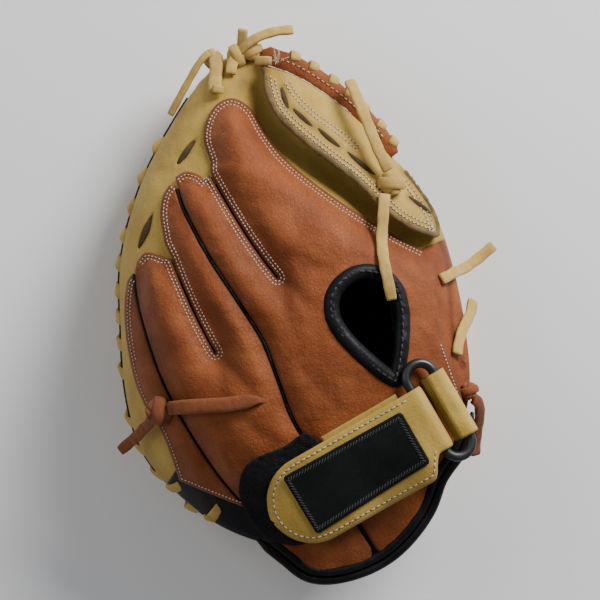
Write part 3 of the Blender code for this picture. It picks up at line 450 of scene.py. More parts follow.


# Finishes. A vertex attribute paints shade into a leather, darkening it in its creases, folds, slots and
# recesses; the attribute wear lightens it.


class Nodes:
    """A short way to build one material's nodes."""

    def __init__(self, name):
        self.material = bpy.data.materials.new(name)
        self.material.use_nodes = True
        self.tree = self.material.node_tree
        self.shader = self.tree.nodes["Principled BSDF"]
        self.place = self.new("ShaderNodeTexCoord").outputs["Object"]

    def new(self, kind, **settings):
        node = self.tree.nodes.new(kind)
        for key, value in settings.items():
            setattr(node, key, value)
        return node

    def join(self, value, socket):
        if isinstance(value, bpy.types.NodeSocket):
            self.tree.links.new(value, socket)
        else:
            socket.default_value = value

    def noise(self, scale, detail=3.0, rough=0.55, place=None):
        node = self.new("ShaderNodeTexNoise")
        node.inputs["Scale"].default_value = scale
        node.inputs["Detail"].default_value = detail
        node.inputs["Roughness"].default_value = rough
        self.tree.links.new(place or self.place, node.inputs["Vector"])
        return node.outputs["Fac"]

    def cells(self, scale, feature="F1", random=1.0, place=None):
        node = self.new("ShaderNodeTexVoronoi", feature=feature)
        node.inputs["Scale"].default_value = scale
        node.inputs["Randomness"].default_value = random
        self.tree.links.new(place or self.place, node.inputs["Vector"])
        return node.outputs["Distance"]

    def stretched(self, x, y, z):
        node = self.new("ShaderNodeMapping")
        node.inputs["Scale"].default_value = (x, y, z)
        self.tree.links.new(self.place, node.inputs["Vector"])
        return node.outputs["Vector"]

    def sum(self, kind, a, b):
        node = self.new("ShaderNodeMath", operation=kind)
        self.join(a, node.inputs[0])
        self.join(b, node.inputs[1])
        return node.outputs["Value"]

    def span(self, value, low, high, first, last):
        node = self.new("ShaderNodeMapRange")
        self.join(value, node.inputs["Value"])
        for socket, number in zip(("From Min", "From Max", "To Min", "To Max"), (low, high, first, last)):
            node.inputs[socket].default_value = number
        return node.outputs["Result"]

    def attribute(self, name):
        return self.new("ShaderNodeAttribute", attribute_name=name).outputs["Fac"]

    def mix(self, factor, a, b, blend="MIX"):
        node = self.new("ShaderNodeMix", data_type="RGBA", blend_type=blend)
        self.join(factor, node.inputs[0])
        for value, socket in ((a, node.inputs[6]), (b, node.inputs[7])):
            if isinstance(value, tuple) and len(value) == 3:
                value = (*value, 1)
            self.join(value, socket)
        return node.outputs[2]

    def bump(self, height, strength, depth, under=None):
        node = self.new("ShaderNodeBump")
        node.inputs["Strength"].default_value = strength
        node.inputs["Distance"].default_value = depth * MM
        self.join(height, node.inputs["Height"])
        if under is not None:
            self.tree.links.new(under, node.inputs["Normal"])
        return node.outputs["Normal"]

    def done(self, colour, rough, normal=None, **more):
        self.join(colour if not isinstance(colour, tuple) else (*colour[:3], 1),
                  self.shader.inputs["Base Color"])
        self.join(rough, self.shader.inputs["Roughness"])
        if normal is not None:
            self.join(normal, self.shader.inputs["Normal"])
        for key, value in more.items():
            self.join(value, self.shader.inputs[key.replace("_", " ")])
        return self.material


def leather(name, mid, dark, light, grain=1.0, rough=0.55, sheen=0.12):
    """Pebbled hide: cells and fine creases in relief, large soft patches in colour, worn edges."""
    n = Nodes(name)
    pebble = n.cells(560.0)
    crack = n.cells(380.0, "DISTANCE_TO_EDGE")
    fine = n.noise(1500.0, 2.0)
    patch = n.noise(17.0, 4.0, 0.6)
    streak = n.noise(60.0, 5.0, 0.65, n.stretched(1.0, 0.35, 0.6))
    base = n.mix(n.span(patch, 0.32, 0.68, 0, 1), dark, mid)
    base = n.mix(n.span(streak, 0.42, 0.72, 0, 0.55), base, light)
    base = n.mix(n.span(crack, 0.0, 0.10, 0.30 * grain, 0), base, dark)
    # Painted shade: darker still where the mesh marks creases, folds, slots and recesses.
    base = n.mix(n.span(n.attribute("painted_shade"), 0, 1, 0, 0.75), base, tuple(c * 0.42 for c in dark))
    base = n.mix(n.span(n.attribute("wear"), 0, 1, 0, 0.5), base, light)
    height = n.sum("ADD", n.sum("MULTIPLY", pebble, -0.5), n.sum("MULTIPLY", fine, 0.25))
    height = n.sum("ADD", height, n.span(crack, 0.0, 0.12, -0.35, 0))
    low = n.bump(n.noise(120.0, 3.0), 0.22 * grain, 1.0)
    low = n.bump(n.noise(330.0, 4.0, 0.6, n.stretched(1.0, 0.45, 0.8)), 0.42 * grain, 0.7, low)
    normal = n.bump(height, 0.62 * grain, 0.32, low)
    return n.done(base, n.span(patch, 0.3, 0.7, rough + 0.06, rough - 0.05), normal,
                  Sheen_Weight=sheen, Sheen_Roughness=0.6, Specular_IOR_Level=0.15)


def suede(name, mid, dark, light, nap=1.0):
    """The napped side or cut edge of a hide."""
    n = Nodes(name)
    fuzz = n.noise(900.0, 5.0, 0.75)
    brushed = n.noise(220.0, 4.0, 0.6, n.stretched(1.0, 0.5, 1.0))
    patch = n.noise(28.0, 4.0, 0.6)
    base = n.mix(n.span(patch, 0.3, 0.7, 0, 1), dark, mid)
    base = n.mix(n.span(brushed, 0.40, 0.70, 0, 0.6), base, light)
    base = n.mix(n.span(fuzz, 0.35, 0.6, 0.35, 0), base, dark)
    # Painted shade: darker still where the mesh marks creases and recesses.
    base = n.mix(n.span(n.attribute("painted_shade"), 0, 1, 0, 0.7), base, tuple(c * 0.4 for c in dark))
    normal = n.bump(fuzz, 0.8 * nap, 0.35, n.bump(brushed, 0.5 * nap, 0.6))
    return n.done(base, 0.92, normal, Sheen_Weight=0.06, Sheen_Roughness=0.5)


def cloth(name, mid, light, pitch=0.9, rough=0.8, depth=0.25):
    """Close-woven black fabric or pile."""
    n = Nodes(name)
    parts = n.new("ShaderNodeSeparateXYZ")
    n.tree.links.new(n.place, parts.inputs[0])
    turn = 2 * math.pi / (pitch * MM)
    across = n.sum("SINE", n.sum("MULTIPLY", n.sum("ADD", parts.outputs[0], parts.outputs[2]), turn), 0.0)
    along = n.sum("SINE", n.sum("MULTIPLY", n.sum("ADD", parts.outputs[1], parts.outputs[2]), turn), 0.0)
    weave = n.sum("MULTIPLY", across, along)
    fuzz = n.noise(1100.0, 4.0, 0.7)
    patch = n.noise(30.0, 3.0)
    height = n.sum("ADD", n.sum("MULTIPLY", weave, 0.5), fuzz)
    base = n.mix(n.span(n.sum("ADD", fuzz, n.sum("MULTIPLY", patch, 0.5)), 0.6, 1.0, 0, 1), mid, light)
    return n.done(base, rough, n.bump(height, 0.6, depth), Sheen_Weight=0.02, Specular_IOR_Level=0.1)


def plastic(name, colour, rough=0.32):
    n = Nodes(name)
    grain = n.noise(260.0, 4.0)
    scuff = n.noise(70.0, 6.0, 0.7, n.stretched(1.0, 0.15, 1.0))
    base = n.mix(n.span(scuff, 0.52, 0.75, 0, 0.5), colour, tuple(c * 2.4 + 0.01 for c in colour))
    return n.done(base, n.span(scuff, 0.4, 0.7, rough, rough + 0.25), n.bump(grain, 0.25, 0.15))


def thread(name, colour, dark):
    n = Nodes(name)
    twist = n.noise(900.0, 3.0, 0.6, n.stretched(1.0, 0.4, 1.0))
    base = n.mix(n.span(twist, 0.35, 0.65, 0, 1), dark, colour)
    return n.done(base, 0.7, n.bump(twist, 0.7, 0.2), Sheen_Weight=0.2)


# Colours are linear (red, green, blue): the middle one, then the dark and the light one.
RUST = leather("rust leather", (0.265, 0.069, 0.017), (0.148, 0.034, 0.008), (0.370, 0.116, 0.035),
               grain=1.4, sheen=0.04)
TAN = leather("tan leather", (0.480, 0.310, 0.066), (0.350, 0.212, 0.038), (0.610, 0.420, 0.108),
              grain=0.8, rough=0.6, sheen=0.04)
BLACK = leather("black leather", (0.006, 0.006, 0.007), (0.003, 0.003, 0.004), (0.020, 0.020, 0.022),
                grain=0.8, rough=0.45, sheen=0.0)
# The web's cut edge: a darker suede nap, its colour darkened further as painted shade for its side away from
# the key light.
SHADED_EDGE_NAP = suede("tan suede, cut edge with painted shade", (0.150, 0.092, 0.028), (0.070, 0.040, 0.012), (0.300, 0.195, 0.065))
TAN_LACE = suede("tan lace", (0.560, 0.360, 0.090), (0.380, 0.225, 0.050), (0.660, 0.460, 0.150), 0.6)
# The tan lace painted dark where it lies in its slots: painted shade, a shaded copy of the tan lace.
SHADED_LACE = suede("tan lace, painted shade in its slots", (0.062, 0.036, 0.010), (0.026, 0.015, 0.005),
                  (0.130, 0.078, 0.022), 0.8)
RUST_LACE = suede("rust lace", (0.250, 0.066, 0.017), (0.130, 0.032, 0.009), (0.350, 0.110, 0.034), 0.9)
LINING = cloth("black lining", (0.005, 0.005, 0.006), (0.014, 0.014, 0.015), 0.8)
PATCH = cloth("black patch", (0.004, 0.005, 0.005), (0.012, 0.013, 0.013), 0.55, 0.7, 0.12)
PILE = cloth("hook and loop pile", (0.005, 0.005, 0.006), (0.022, 0.022, 0.024), 1.6, 0.95, 0.8)
FELT_PAD = suede("wool felt", (0.560, 0.540, 0.480), (0.430, 0.410, 0.360), (0.680, 0.660, 0.600))
RING = plastic("black plastic", (0.008, 0.008, 0.009))
WHITE_THREAD = thread("white thread", (0.680, 0.560, 0.440), (0.450, 0.345, 0.250))
# Dark brown for the dots between stitches: painted shade standing for the needle holes.
HOLE_SHADE = thread("needle hole, painted shade", (0.030, 0.012, 0.005), (0.012, 0.005, 0.002))
BLACK_THREAD = thread("black thread", (0.022, 0.022, 0.023), (0.008, 0.008, 0.008))


# Stitches.


def stitches(name, line, height, material, pitch=2.2, length=1.55, radius=0.36, rise=0.10, closed=False,
             tilt=0.0):
    """A row of sewn stitches lying on height(x, y), each dipping into the leather at its ends."""
    line = np.asarray(line, float)
    if closed:
        line = np.vstack([line, line[:1]])
    along = np.concatenate([[0], np.cumsum(np.linalg.norm(np.diff(line, axis=0), axis=1))])
    count = max(1, int(along[-1] / pitch))
    draw = np.random.default_rng(len(line) + count)
    parts = []
    for k in range(count):
        middle = (k + 0.5) * along[-1] / count
        long_ = length * draw.uniform(0.92, 1.06)
        s = np.linspace(middle - long_ / 2, middle + long_ / 2, 5)
        x, y = np.interp(s, along, line[:, 0]), np.interp(s, along, line[:, 1])
        ahead = np.array([x[-1] - x[0], y[-1] - y[0]])
        ahead /= max(np.linalg.norm(ahead), 1e-9)
        slant = tilt * np.linspace(-0.5, 0.5, 5) + draw.uniform(-0.06, 0.06)
        x, y = x - ahead[1] * slant, y + ahead[0] * slant
        z = height(x, y) + rise + radius * np.array([-0.9, 0.1, 0.35, 0.1, -0.9])
        spine = np.column_stack([x, y, z])
        parts.append(sweep(spine, UP, round_profile(radius, 6, 0.8), scale=[0.55, 1, 1.05, 1, 0.55]))
    # Between the stitches go dark dots, painted shade standing for the needle holes.
    if material is WHITE_THREAD:
        sewn = sum(len(faces) for _, faces in parts)
        for k in range(1, count):
            middle = k * along[-1] / count
            s = np.array([middle - 0.5, middle, middle + 0.5])
            x, y = np.interp(s, along, line[:, 0]), np.interp(s, along, line[:, 1])
            spine = np.column_stack([x, y, height(x, y) + rise - 0.12])
            parts.append(sweep(spine, UP, round_profile(radius * 0.85, 6, 0.7), scale=[0.7, 1, 0.7]))
    obj = make(name, *merged(parts), material)
    if material is WHITE_THREAD:
        obj.data.materials.append(HOLE_SHADE)
        for polygon in obj.data.polygons[sewn:]:
            polygon.material_index = 1
    return obj


# Palm and rim.


def palm_path(a):
    """The palm leather's outer face from its laced edge, under the rim and up into the pocket."""
    web, wrist = float(share(a, WEB_ANGLES)), float(share(a, WRIST_ANGLES, 14.0))
    outer = float(rim_radius(a)) - WEB_SETBACK * web
    side = LACE_EDGE_HEIGHT + WEB_EDGE_RISE * web
    low = WEB_LIFT * web
    path = [(outer, side + 1 + HEEL_RISE * wrist * k) for k in (1, 0.66, 0.33)] + [(outer, side)]
    for turn in np.radians(np.arange(8, 91, 8.2)):
        path.append((outer - RIM_HALF_WIDTH * (1 - math.cos(turn)),
                     side - (side - low) * math.sin(turn)))
    for u in np.linspace(0, 1, 19)[1:]:
        path.append((outer - RIM_HALF_WIDTH - POCKET_SLOPE * u,
                     low + (POCKET_DEPTH - low) * float(ease(u))))
    last = path[-1][0]
    for u in (0.72, 0.46, 0.22, 0.02):
        path.append((last * u, POCKET_DEPTH))
    return np.array(path)


def palm_cut(a):
    path = palm_path(a)
    x, y = at(a, path[:, 0])
    deep = ease((path[:, 1] - 1.5) / 6)
    calm_floor = ease((49 - path[:, 1]) / 8 + 0.2)
    path[:, 1] += deep * (0.7 * waves(x, y, 60, 3) + 0.25 * waves(x, y, 17, 4)) * calm_floor
    return path


def band_inner(a):
    return (BAND_INNER - 0.19 * share(a, (-8, 66), 14.0)) * rim_radius(a)


def band_cut(a, wrist_side=False):
    first = float(band_inner(a))
    if wrist_side:
        corner = float(ease((-38 - math.degrees(a)) / 10))
        first = first + (float(outer_edge(a)) - 14 - first) * corner
    across = np.linspace(0, 1, 34)
    outer = float(outer_edge(a))
    r = first + (outer - first) * across
    r = r + (outer - r) * 0.35 * np.sin(across * math.pi)
    x, y = at(a, r)
    z = dome(x, y)
    free = ease((1 - across) / 0.25) * ease(across / 0.1)
    clear = ease((np.min([distance(x, y, line) for line in PANEL_EDGES], axis=0) - 2) / 9)
    z = z + free * clear * (0.8 * waves(x, y, 48, 11) + 0.3 * waves(x, y, 15, 12))
    low = float(palm_path(a)[3, 1]) + (HEEL_RISE * float(share(a, WRIST_ANGLES, 14.0))) + LACE_THICKNESS + 1.6
    low = min(low, z[-1] - 2)
    down = np.linspace(z[-1], low, 6)[1:]
    wall = np.column_stack([outer - np.array([0, 0, 0.1, 0.4, 1.0]), down])
    return np.vstack([np.column_stack([r, z]), wall])


# Painted shade: the palm darkens, unevenly, the higher it climbs into the pocket's hollow.
def pocket_shade(v):
    return 0.35 * ease((v[:, 2] - 30) / 20) * (0.5 + 0.5 * waves(v[:, 0], v[:, 1], 50, 5))


def facing_out(obj, middle_z):
    """Turns every face away from a point on the mitt's middle line, so that thickness grows inwards."""
    mesh = obj.data
    middle = Vector(((CENTRE[0] * MM + SHIFT[0]), (CENTRE[1] * MM + SHIFT[1]), middle_z * MM))
    total = sum(f.area * f.normal.dot(f.center - middle) for f in mesh.polygons)
    if total < 0:
        mesh.flip_normals()
    return obj


palm_verts, palm_faces = polar_shell(0, 360, 2.0, palm_cut)
palm = make("palm", palm_verts, palm_faces, TAN, {"painted_shade": pocket_shade(palm_verts)})
bend(thicken(facing_out(palm, 57), LEATHER), "palm_leather", "palm_leather_thumb")

LEAVES = [((-24.5, 106.5), (-5.0, 115.5), 2.3), ((-69.5, 74.0), (-50.0, 89.5), 2.3)]


def leaf_depth(x, y):
    total = np.zeros(np.shape(x))
    for start, end, half in LEAVES:
        a, b = np.array(start), np.array(end)
        span = b - a
        long_ = np.linalg.norm(span)
        t = ((x - a[0]) * span[0] + (y - a[1]) * span[1]) / long_**2
        off = ((x - a[0]) * -span[1] + (y - a[1]) * span[0]) / long_
        wide = half * np.sin(np.clip(t, 0, 1) * math.pi) ** 0.8
        total = np.maximum(total, np.where(wide > 0.3, ease((wide - np.abs(off)) / 1.4 + 0.2), 0))
    return total


band_verts, band_faces = polar_shell(-7.6, 207.5, 0.9, band_cut)
dent = leaf_depth(band_verts[:, 0], band_verts[:, 1]) * (band_verts[:, 2] > 45)
band_verts[:, 2] -= 3.2 * dent
slope = np.column_stack([band_verts[:, 0] - CENTRE[0], band_verts[:, 1] - CENTRE[1]])
near_recess = np.exp(-(distance(band_verts[:, 0], band_verts[:, 1], RECESS_LINE) / 15) ** 2)
# Painted shade darkens the band in its leaf slits and in the recess under the web flap.
band = make("rim_band", band_verts, band_faces, TAN,
            {"painted_shade": np.maximum(dent, 0.62 * near_recess), "wear": 0.2 * near_recess})
bend(thicken(facing_out(band, 30), LEATHER), "back_rim_band", "web_rim_band")
leaf_laces = []
for start, end, _ in LEAVES:
    t = np.linspace(0.04, 0.96, 15)
    line = np.array(start) + (np.array(end) - np.array(start)) * t[:, None]
    z = dome(line[:, 0], line[:, 1]) - 2.6 + 1.7 * np.sin(t * math.pi)
    leaf_laces.append(sweep(np.column_stack([line, z]), UP, strap_profile(3.6, 1.8, 0.5),
                            scale=0.35 + 0.65 * np.sin(t * math.pi)))
# The laces in the leaf slits are the tan lace painted dark: painted shade.
on(make("leaf_laces", *merged(leaf_laces), SHADED_LACE), "mitt")

heel_verts, heel_faces = polar_shell(207.2, 240.0, 0.9, band_cut)
heel_band = make("heel_band", heel_verts, heel_faces, BLACK)
on(thicken(facing_out(heel_band, 30), LEATHER), "mitt")

THUMB_RIDGE = smooth([(91, -8), (88, -25), (78, -45), (68, -67), (64, -84)], 6)
wall_verts, wall_faces = polar_shell(-67.5, -7.4, 0.9, lambda a: band_cut(a, True))
ridge = distance(wall_verts[:, 0], wall_verts[:, 1], THUMB_RIDGE)
wall_verts[:, 2] -= 2.2 * np.exp(-((ridge / 2.2) ** 2))
# Painted shade along the thumb's ridge fold.
wall = make("thumb_wall", wall_verts, wall_faces, RUST, {"painted_shade": 0.7 * np.exp(-((ridge / 1.8) ** 2))})
bend(thicken(facing_out(wall, 30), LEATHER), "thumb_rim_band", "wrist_rim_band")

# The back panels.

GAP = 1.1
SLOT_HALF = 0.45


def move(line, dx):
    return np.asarray(line, float) + [dx, 0]


middle_line, little_line = even(smooth(MIDDLE_SEAM, 8), 3), even(smooth(LITTLE_SEAM, 8), 3)
wrist_line = even(smooth(WRIST_EDGE, 8), 3)
slot_index, slot_ring = smooth(INDEX_SLOT, 8), smooth(RING_SLOT, 8)
index_edge, thumb_seam = smooth(INDEX_EDGE, 8), smooth(THUMB_SEAM, 8)
index_tip = smooth([(-13, 88), (-15, 95), (-21, 101), (-28, 101)], 6)
middle_tip = smooth([(-33, 99), (-40, 95), (-47, 86), (-53, 70)], 6)
ring_tip = smooth([(-57.5, 62), (-60, 66), (-66, 71), (-73, 69)], 6)
little_tip = smooth([(-82, 63), (-86, 60), (-95, 47), (-103, 30), (-110, 8), (-112, -8), (-111, -24),
                     (-113, -40), (-117, -58)], 6)
index_loop = np.vstack([
    move(middle_line[:-1], GAP), wrist_line[(wrist_line[:, 0] > -36 + GAP) & (wrist_line[:, 0] < 52)][::-1],
    thumb_seam[::-1], index_edge[::-1], move(slot_index, SLOT_HALF), move(slot_index, -SLOT_HALF)[::-1],
    index_tip])
middle_loop = np.vstack([
    move(middle_line[:-1], -GAP)[::-1], middle_tip,
    move(slot_ring, SLOT_HALF), move(slot_ring, -SLOT_HALF)[::-1], ring_tip, move(little_line, 0.5),
    wrist_line[wrist_line[:, 0] < -36 - GAP][::-1]])
little_loop = np.vstack([move(little_line, -0.5)[::-1], little_tip, smooth(LITTLE_FOOT, 6)[1:-1]])

SEWN = [index_edge, slot_index, slot_ring, index_tip, middle_tip, ring_tip, little_tip]
# Each fold runs from one point to another, with its depth and its half width.
FOLDS = [((-5, 18), (4, -8), 2.0, 4.5), ((-5, 16), (-14, -14), 1.4, 4.0),
         ((-59, -3), (-52, -34), 1.8, 4.5), ((-59, -4), (-70, -30), 1.3, 4.0),
         ((6, 26), (22, 8), 1.4, 5.0), ((-66, -40), (-58, -66), 1.2, 4.5),
         ((-20, -30), (-14, -62), 1.4, 5.5), ((58, 0), (64, -34), 1.2, 4.0),
         ((-78, -60), (-70, -100), 1.6, 6.0), ((52, -60), (44, -88), 1.2, 4.0),
         ((-50, 20), (-46, -12), 1.2, 5.0), ((16, 62), (36, 34), 1.2, 6.0)]


def folds(x, y):
    """Soft creases where the hide is drawn together, deepest in their middles."""
    total = np.zeros(np.broadcast(x, y).shape)
    for start, end, deep, half in FOLDS:
        a, b = np.array(start, float), np.array(end, float)
        span = b - a
        t = np.clip(((x - a[0]) * span[0] + (y - a[1]) * span[1]) / (span @ span), 0, 1)
        bow = 2.5 * np.sin(t * math.pi)
        off = np.hypot(x - a[0] - t * span[0] - bow * 0.4, y - a[1] - t * span[1])
        ends = 0.35 + 0.65 * np.sin(np.clip(t, 0.05, 0.95) * math.pi)
        total = total + deep * np.exp(-((off / half) ** 2)) * ends
    return total


def hide(x, y):
    """The finished face of the back panels, without their edges."""
    y_ = np.asarray(y, float)
    under_strap = ease((STRAP_TOP + 12 - y_) / 10) * ease((y_ - STRAP_BOTTOM + 8) / 8)
    ruffle = 0.75 * waves(x, y, 42, 21) + 0.28 * waves(x, y, 13, 22)
    return back_top(x, y) + (ruffle - folds(x, y)) * (1 - 0.8 * under_strap)


def hide_near(x, y, away):
    sewn = np.min([distance(x, y, line) for line in SEWN], axis=0)
    groove = 0.45 * (np.exp(-(((sewn - 2.1) / 0.7) ** 2)) + np.exp(-(((sewn - 5.0) / 0.7) ** 2)))
    return hide(x, y) - rolled(away, 1.5) - groove + 0.25 * np.exp(-(((sewn - 3.6) / 1.0) ** 2))


def back_panel(name, outline, hole=None):
    verts, faces, away = draped(outline, hide_near, 2.3, hole)
    x, y = verts[:, 0], verts[:, 1]
    # Painted shade: the panel darkens in its folds, along its cut edges and beside the seams.
    deep = np.clip(folds(x, y) / 2.2, 0, 1) * 0.55 + 0.5 * np.exp(-((away / 1.2) ** 2))
    seam = np.minimum(distance(x, y, MIDDLE_SEAM), distance(x, y, LITTLE_SEAM))
    deep = np.maximum(deep, 0.55 * np.exp(-((seam / 4.0) ** 2)))
    high = 0.5 * np.clip(waves(x, y, 30, 23), 0, 1) * ease((away - 6) / 8)
    obj = make(name, verts, faces, RUST, {"painted_shade": np.clip(deep, 0, 1), "wear": high})
    return thicken(obj, LEATHER)


bend(back_panel("back_index", index_loop, FINGER_HOLE), "back_panel_index", "back_panel_thumb_side")
on(back_panel("back_middle", middle_loop), "mitt", "back_panel_middle")
on(back_panel("back_little", little_loop), "mitt", "back_panel_little")

def sew(name, body, *lines, height=hide, material=None, **more):
    """One object of several rows, with the body it moves with, or None for the bending back."""
    parts = []
    for k, line in enumerate(lines):
        row = stitches(f"{name}_{k}", line, height, material or WHITE_THREAD, **more)
        parts.append(row)
    first = parts[0]
    bm = bmesh.new()
    for part in parts:
        bm.from_mesh(part.data)
    bm.to_mesh(first.data)
    bm.free()
    first.data.shade_smooth()
    first.name = name
    for part in parts[1:]:
        bpy.data.objects.remove(part)
    return on(first, body) if body else bend(first)


def hairpin(slot, wide):
    """Both sides of a slot and round its foot."""
    line = np.asarray(slot)
    left, right = beside(line, wide), beside(line, -wide)
    end, ahead = line[-1], line[-1] - line[-2]
    ahead = ahead / np.linalg.norm(ahead)
    across = np.array([-ahead[1], ahead[0]])
    turn = np.linspace(0, math.pi, 9)[1:-1, None]
    foot = end + wide * (np.cos(turn) * across + np.sin(turn) * ahead)
    return np.vstack([left, foot, right[::-1]])


def joined(*rows):
    """One row from several, each turned to start at the end of the one before."""
    line = np.asarray(rows[0])
    for row in rows[1:]:
        if np.linalg.norm(row[-1] - line[-1]) < np.linalg.norm(row[0] - line[-1]):
            row = row[::-1]
        line = np.vstack([line, row])
    line = even(line, 0.8)
    for _ in range(4):
        line[1:-1] = (line[:-2] + 2 * line[1:-1] + line[2:]) / 4
    return line


for amount, label in ((2.0, "outer"), (3.9, "inner")):
    round_index, round_ring = hairpin(slot_index, amount + 0.4), hairpin(slot_ring, amount + 0.4)
    sew(f"stitch_index_{label}", None,
        joined(beside(index_edge, -amount)[::-1], round_index, beside(index_tip, amount)))
    sew(f"stitch_middle_{label}", "mitt",
        joined(beside(middle_tip, amount), round_ring, beside(ring_tip, amount)))
sew("stitch_little_inner", "mitt", beside(little_tip[:22], 3.9))
sew("stitch_little_outer", "mitt", beside(little_tip, 2.1), beside(smooth(LITTLE_FOOT, 6), 2.1))
sew("stitch_thumb_seam", None, beside(thumb_seam, -2.1)[thumb_seam[:, 1] < -64])


# Pipings and bindings.


seam = even(smooth(MIDDLE_SEAM, 8), 1.6)
above_strap = seam[seam[:, 1] > STRAP_TOP + 3][2:]
below_strap = np.vstack([seam[seam[:, 1] < STRAP_BOTTOM - 1], [(-36, -153.6), (-36, -155.4)]])
side_seam = even(smooth(LITTLE_SEAM, 8), 1.6)
side_seam = side_seam[side_seam[:, 1] > STRAP_TOP + 4][1:]
bead = round_profile(1.05, 12, 1.1)
PIPINGS = {"piping_middle": above_strap, "piping_wrist": below_strap, "piping_little": side_seam}
for name, line in PIPINGS.items():
    sink = 2.4 * ease((52 - line[:, 1]) / 25) if name == "piping_little" else 0
    z = back_top(line[:, 0], line[:, 1]) - 1.7 - sink + 0.15 * waves(line[:, 0], line[:, 1], 9, 31)
    under = np.column_stack([line, back_top(line[:, 0], line[:, 1]) - sink - 3.4])
    solids = [sweep(np.column_stack([line, z]), UP, bead)]
    if name != "piping_little":
        solids.append(sweep(under, UP, strap_profile(7.5, 1.0)))
    on(make(name + "_bead", *merged(solids), BLACK), "mitt", name)

hole = even(smooth(FINGER_HOLE, 10, closed=True), 1.6, closed=True)
hole_in = beside(hole, 3.4, closed=True)
if not inside(hole_in[:1, 0], hole_in[:1, 1], hole)[0]:
    hole_in = beside(hole, -3.4, closed=True)
hole_profile = np.array([(-5.2, -3.6), (-4.9, -0.6), (-3.6, 1.5), (-1.6, 2.6), (0.8, 2.7), (2.8, 1.9),
                         (4.2, 0.2), (4.5, -2.4), (3.6, -4.6), (0, -5.0)])
hole_z = hide(hole[:, 0], hole[:, 1]) - 0.4
ring_points = np.column_stack([hole_in, hole_z])
hole_roll = sweep(ring_points, UP, hole_profile, closed=True)
bend(make("finger_hole_roll", *hole_roll, BLACK), "finger_hole_binding")


def hole_height(x, y):
    away = distance(x, y, np.vstack([hole_in, hole_in[:1]]))
    return hide(x, y) - 0.4 + 2.6 - 0.05 * away**2


sew("stitch_hole", None, beside(hole_in, 0.0, closed=True)[2:-2], height=hole_height, material=BLACK_THREAD,
    pitch=4.2, length=2.9, radius=0.5)

wrist_fine = even(smooth(WRIST_EDGE, 10), 1.8)
inner_roll, outer_roll = beside(wrist_fine, -0.6), beside(wrist_fine, 4.6)
rolls = []
for line, drop, radius in ((inner_roll, 0.7, 2.7), (outer_roll, 3.6, 2.9)):
    z = back_top(wrist_fine[:, 0], wrist_fine[:, 1]) - drop + 0.25 * waves(line[:, 0], line[:, 1], 14, 33)
    taper = np.minimum(1, 0.35 + from_end(len(line)) * 0.14)
    rolls.append(sweep(np.column_stack([line, z]), UP, round_profile(radius, 14), scale=taper))
bend(make("wrist_rolls", *merged(rolls), BLACK), "wrist_binding")

heel_turns = np.radians(np.arange(212, 300, 1.2))
heel = []
for inward_, rise, radius in ((1.2, 3.2, 3.1), (0.4, 8.4, 3.0)):
    line = np.array([(*at(a, float(rim_radius(a)) - inward_), float(palm_path(a)[0, 1]) + rise)
                     for a in heel_turns])
    taper = np.minimum(1, 0.4 + from_end(len(line)) * 0.1)
    heel.append(sweep(line, UP, round_profile(radius, 14), scale=taper))
bend(make("heel_rolls", *merged(heel), BLACK), "heel_binding")

# The linings and the pads.

LINING_THICKNESS = 1.4


def lining(name, height, outline, hole_=None):
    verts, faces, _ = draped(outline, height, 5.0, hole_, rims=())
    return thicken(make(name, verts, faces, LINING), LINING_THICKNESS)


hand_outline = np.vstack([
    np.array([at(a, float(band_inner(a)) - 3.0) for a in np.radians(np.arange(-42, 226, 4))]),
    even(smooth([(-78, -112), (-74, -128), (-60, -146), (-38, -150), (-18, -147), (2, -138),
                 (16, -125), (30, -112), (38, -96)], 4), 6)])
floor_outline = np.vstack([
    np.array([at(a, 0.62 * float(rim_radius(a)) - 2.0) for a in np.radians(np.arange(-42, 212, 5))]),
    np.array([at(a, float(rim_radius(a)) - 9.6) for a in np.radians(np.arange(228, 300, 5))])])
bend(lining("back_cloth", lambda x, y, d: dome(x, y) + 0.2 + 0.2 * waves(x, y, 16, 41), hand_outline,
            FINGER_HOLE), "back_lining")
bend(lining("palm_cloth", lambda x, y, d: PAD_TOP + 2.0 + 0.6 * waves(x, y, 26, 42), floor_outline),
     "palm_lining")


def padding(node):
    """The pad's own solid, rounded over and uneven as cut felt is."""
    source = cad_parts[node]
    mesh = source.data.copy()
    mesh.transform(source.matrix_world)
    mesh.materials.clear()
    mesh.materials.append(FELT_PAD)
    obj = link(bpy.data.objects.new("felt_" + node, mesh))
    remesh = obj.modifiers.new("Felt", "REMESH")
    remesh.mode, remesh.voxel_size, remesh.use_smooth_shade = "VOXEL", 0.0022, True
    soft = obj.modifiers.new("Soft", "SMOOTH")
    soft.factor, soft.iterations = 0.5, 6
    bpy.context.view_layer.update()
    graph = bpy.context.evaluated_depsgraph_get()
    shaped = bpy.data.meshes.new_from_object(obj.evaluated_get(graph))
    obj.modifiers.clear()
    obj.data = shaped
    points = np.empty(len(shaped.vertices) * 3)
    shaped.vertices.foreach_get("co", points)
    normals = np.empty(len(shaped.vertices) * 3)
    shaped.vertices.foreach_get("normal", normals)
    p, q = points.reshape(-1, 3), normals.reshape(-1, 3)
    lump = waves(p[:, 0] / MM + p[:, 2] / MM * 0.4, p[:, 1] / MM, 19, 51) * 0.25 - 0.2
    p = p + q * lump[:, None] * MM
    shaped.vertices.foreach_set("co", p.ravel())
    shaped.update()
    bend(obj, node)


for node in ("palm_pad_fingers", "palm_pad_little", "palm_pad_centre", "heel_pad", "thumb_pad", "web_pad"):
    padding(node)

# The web.

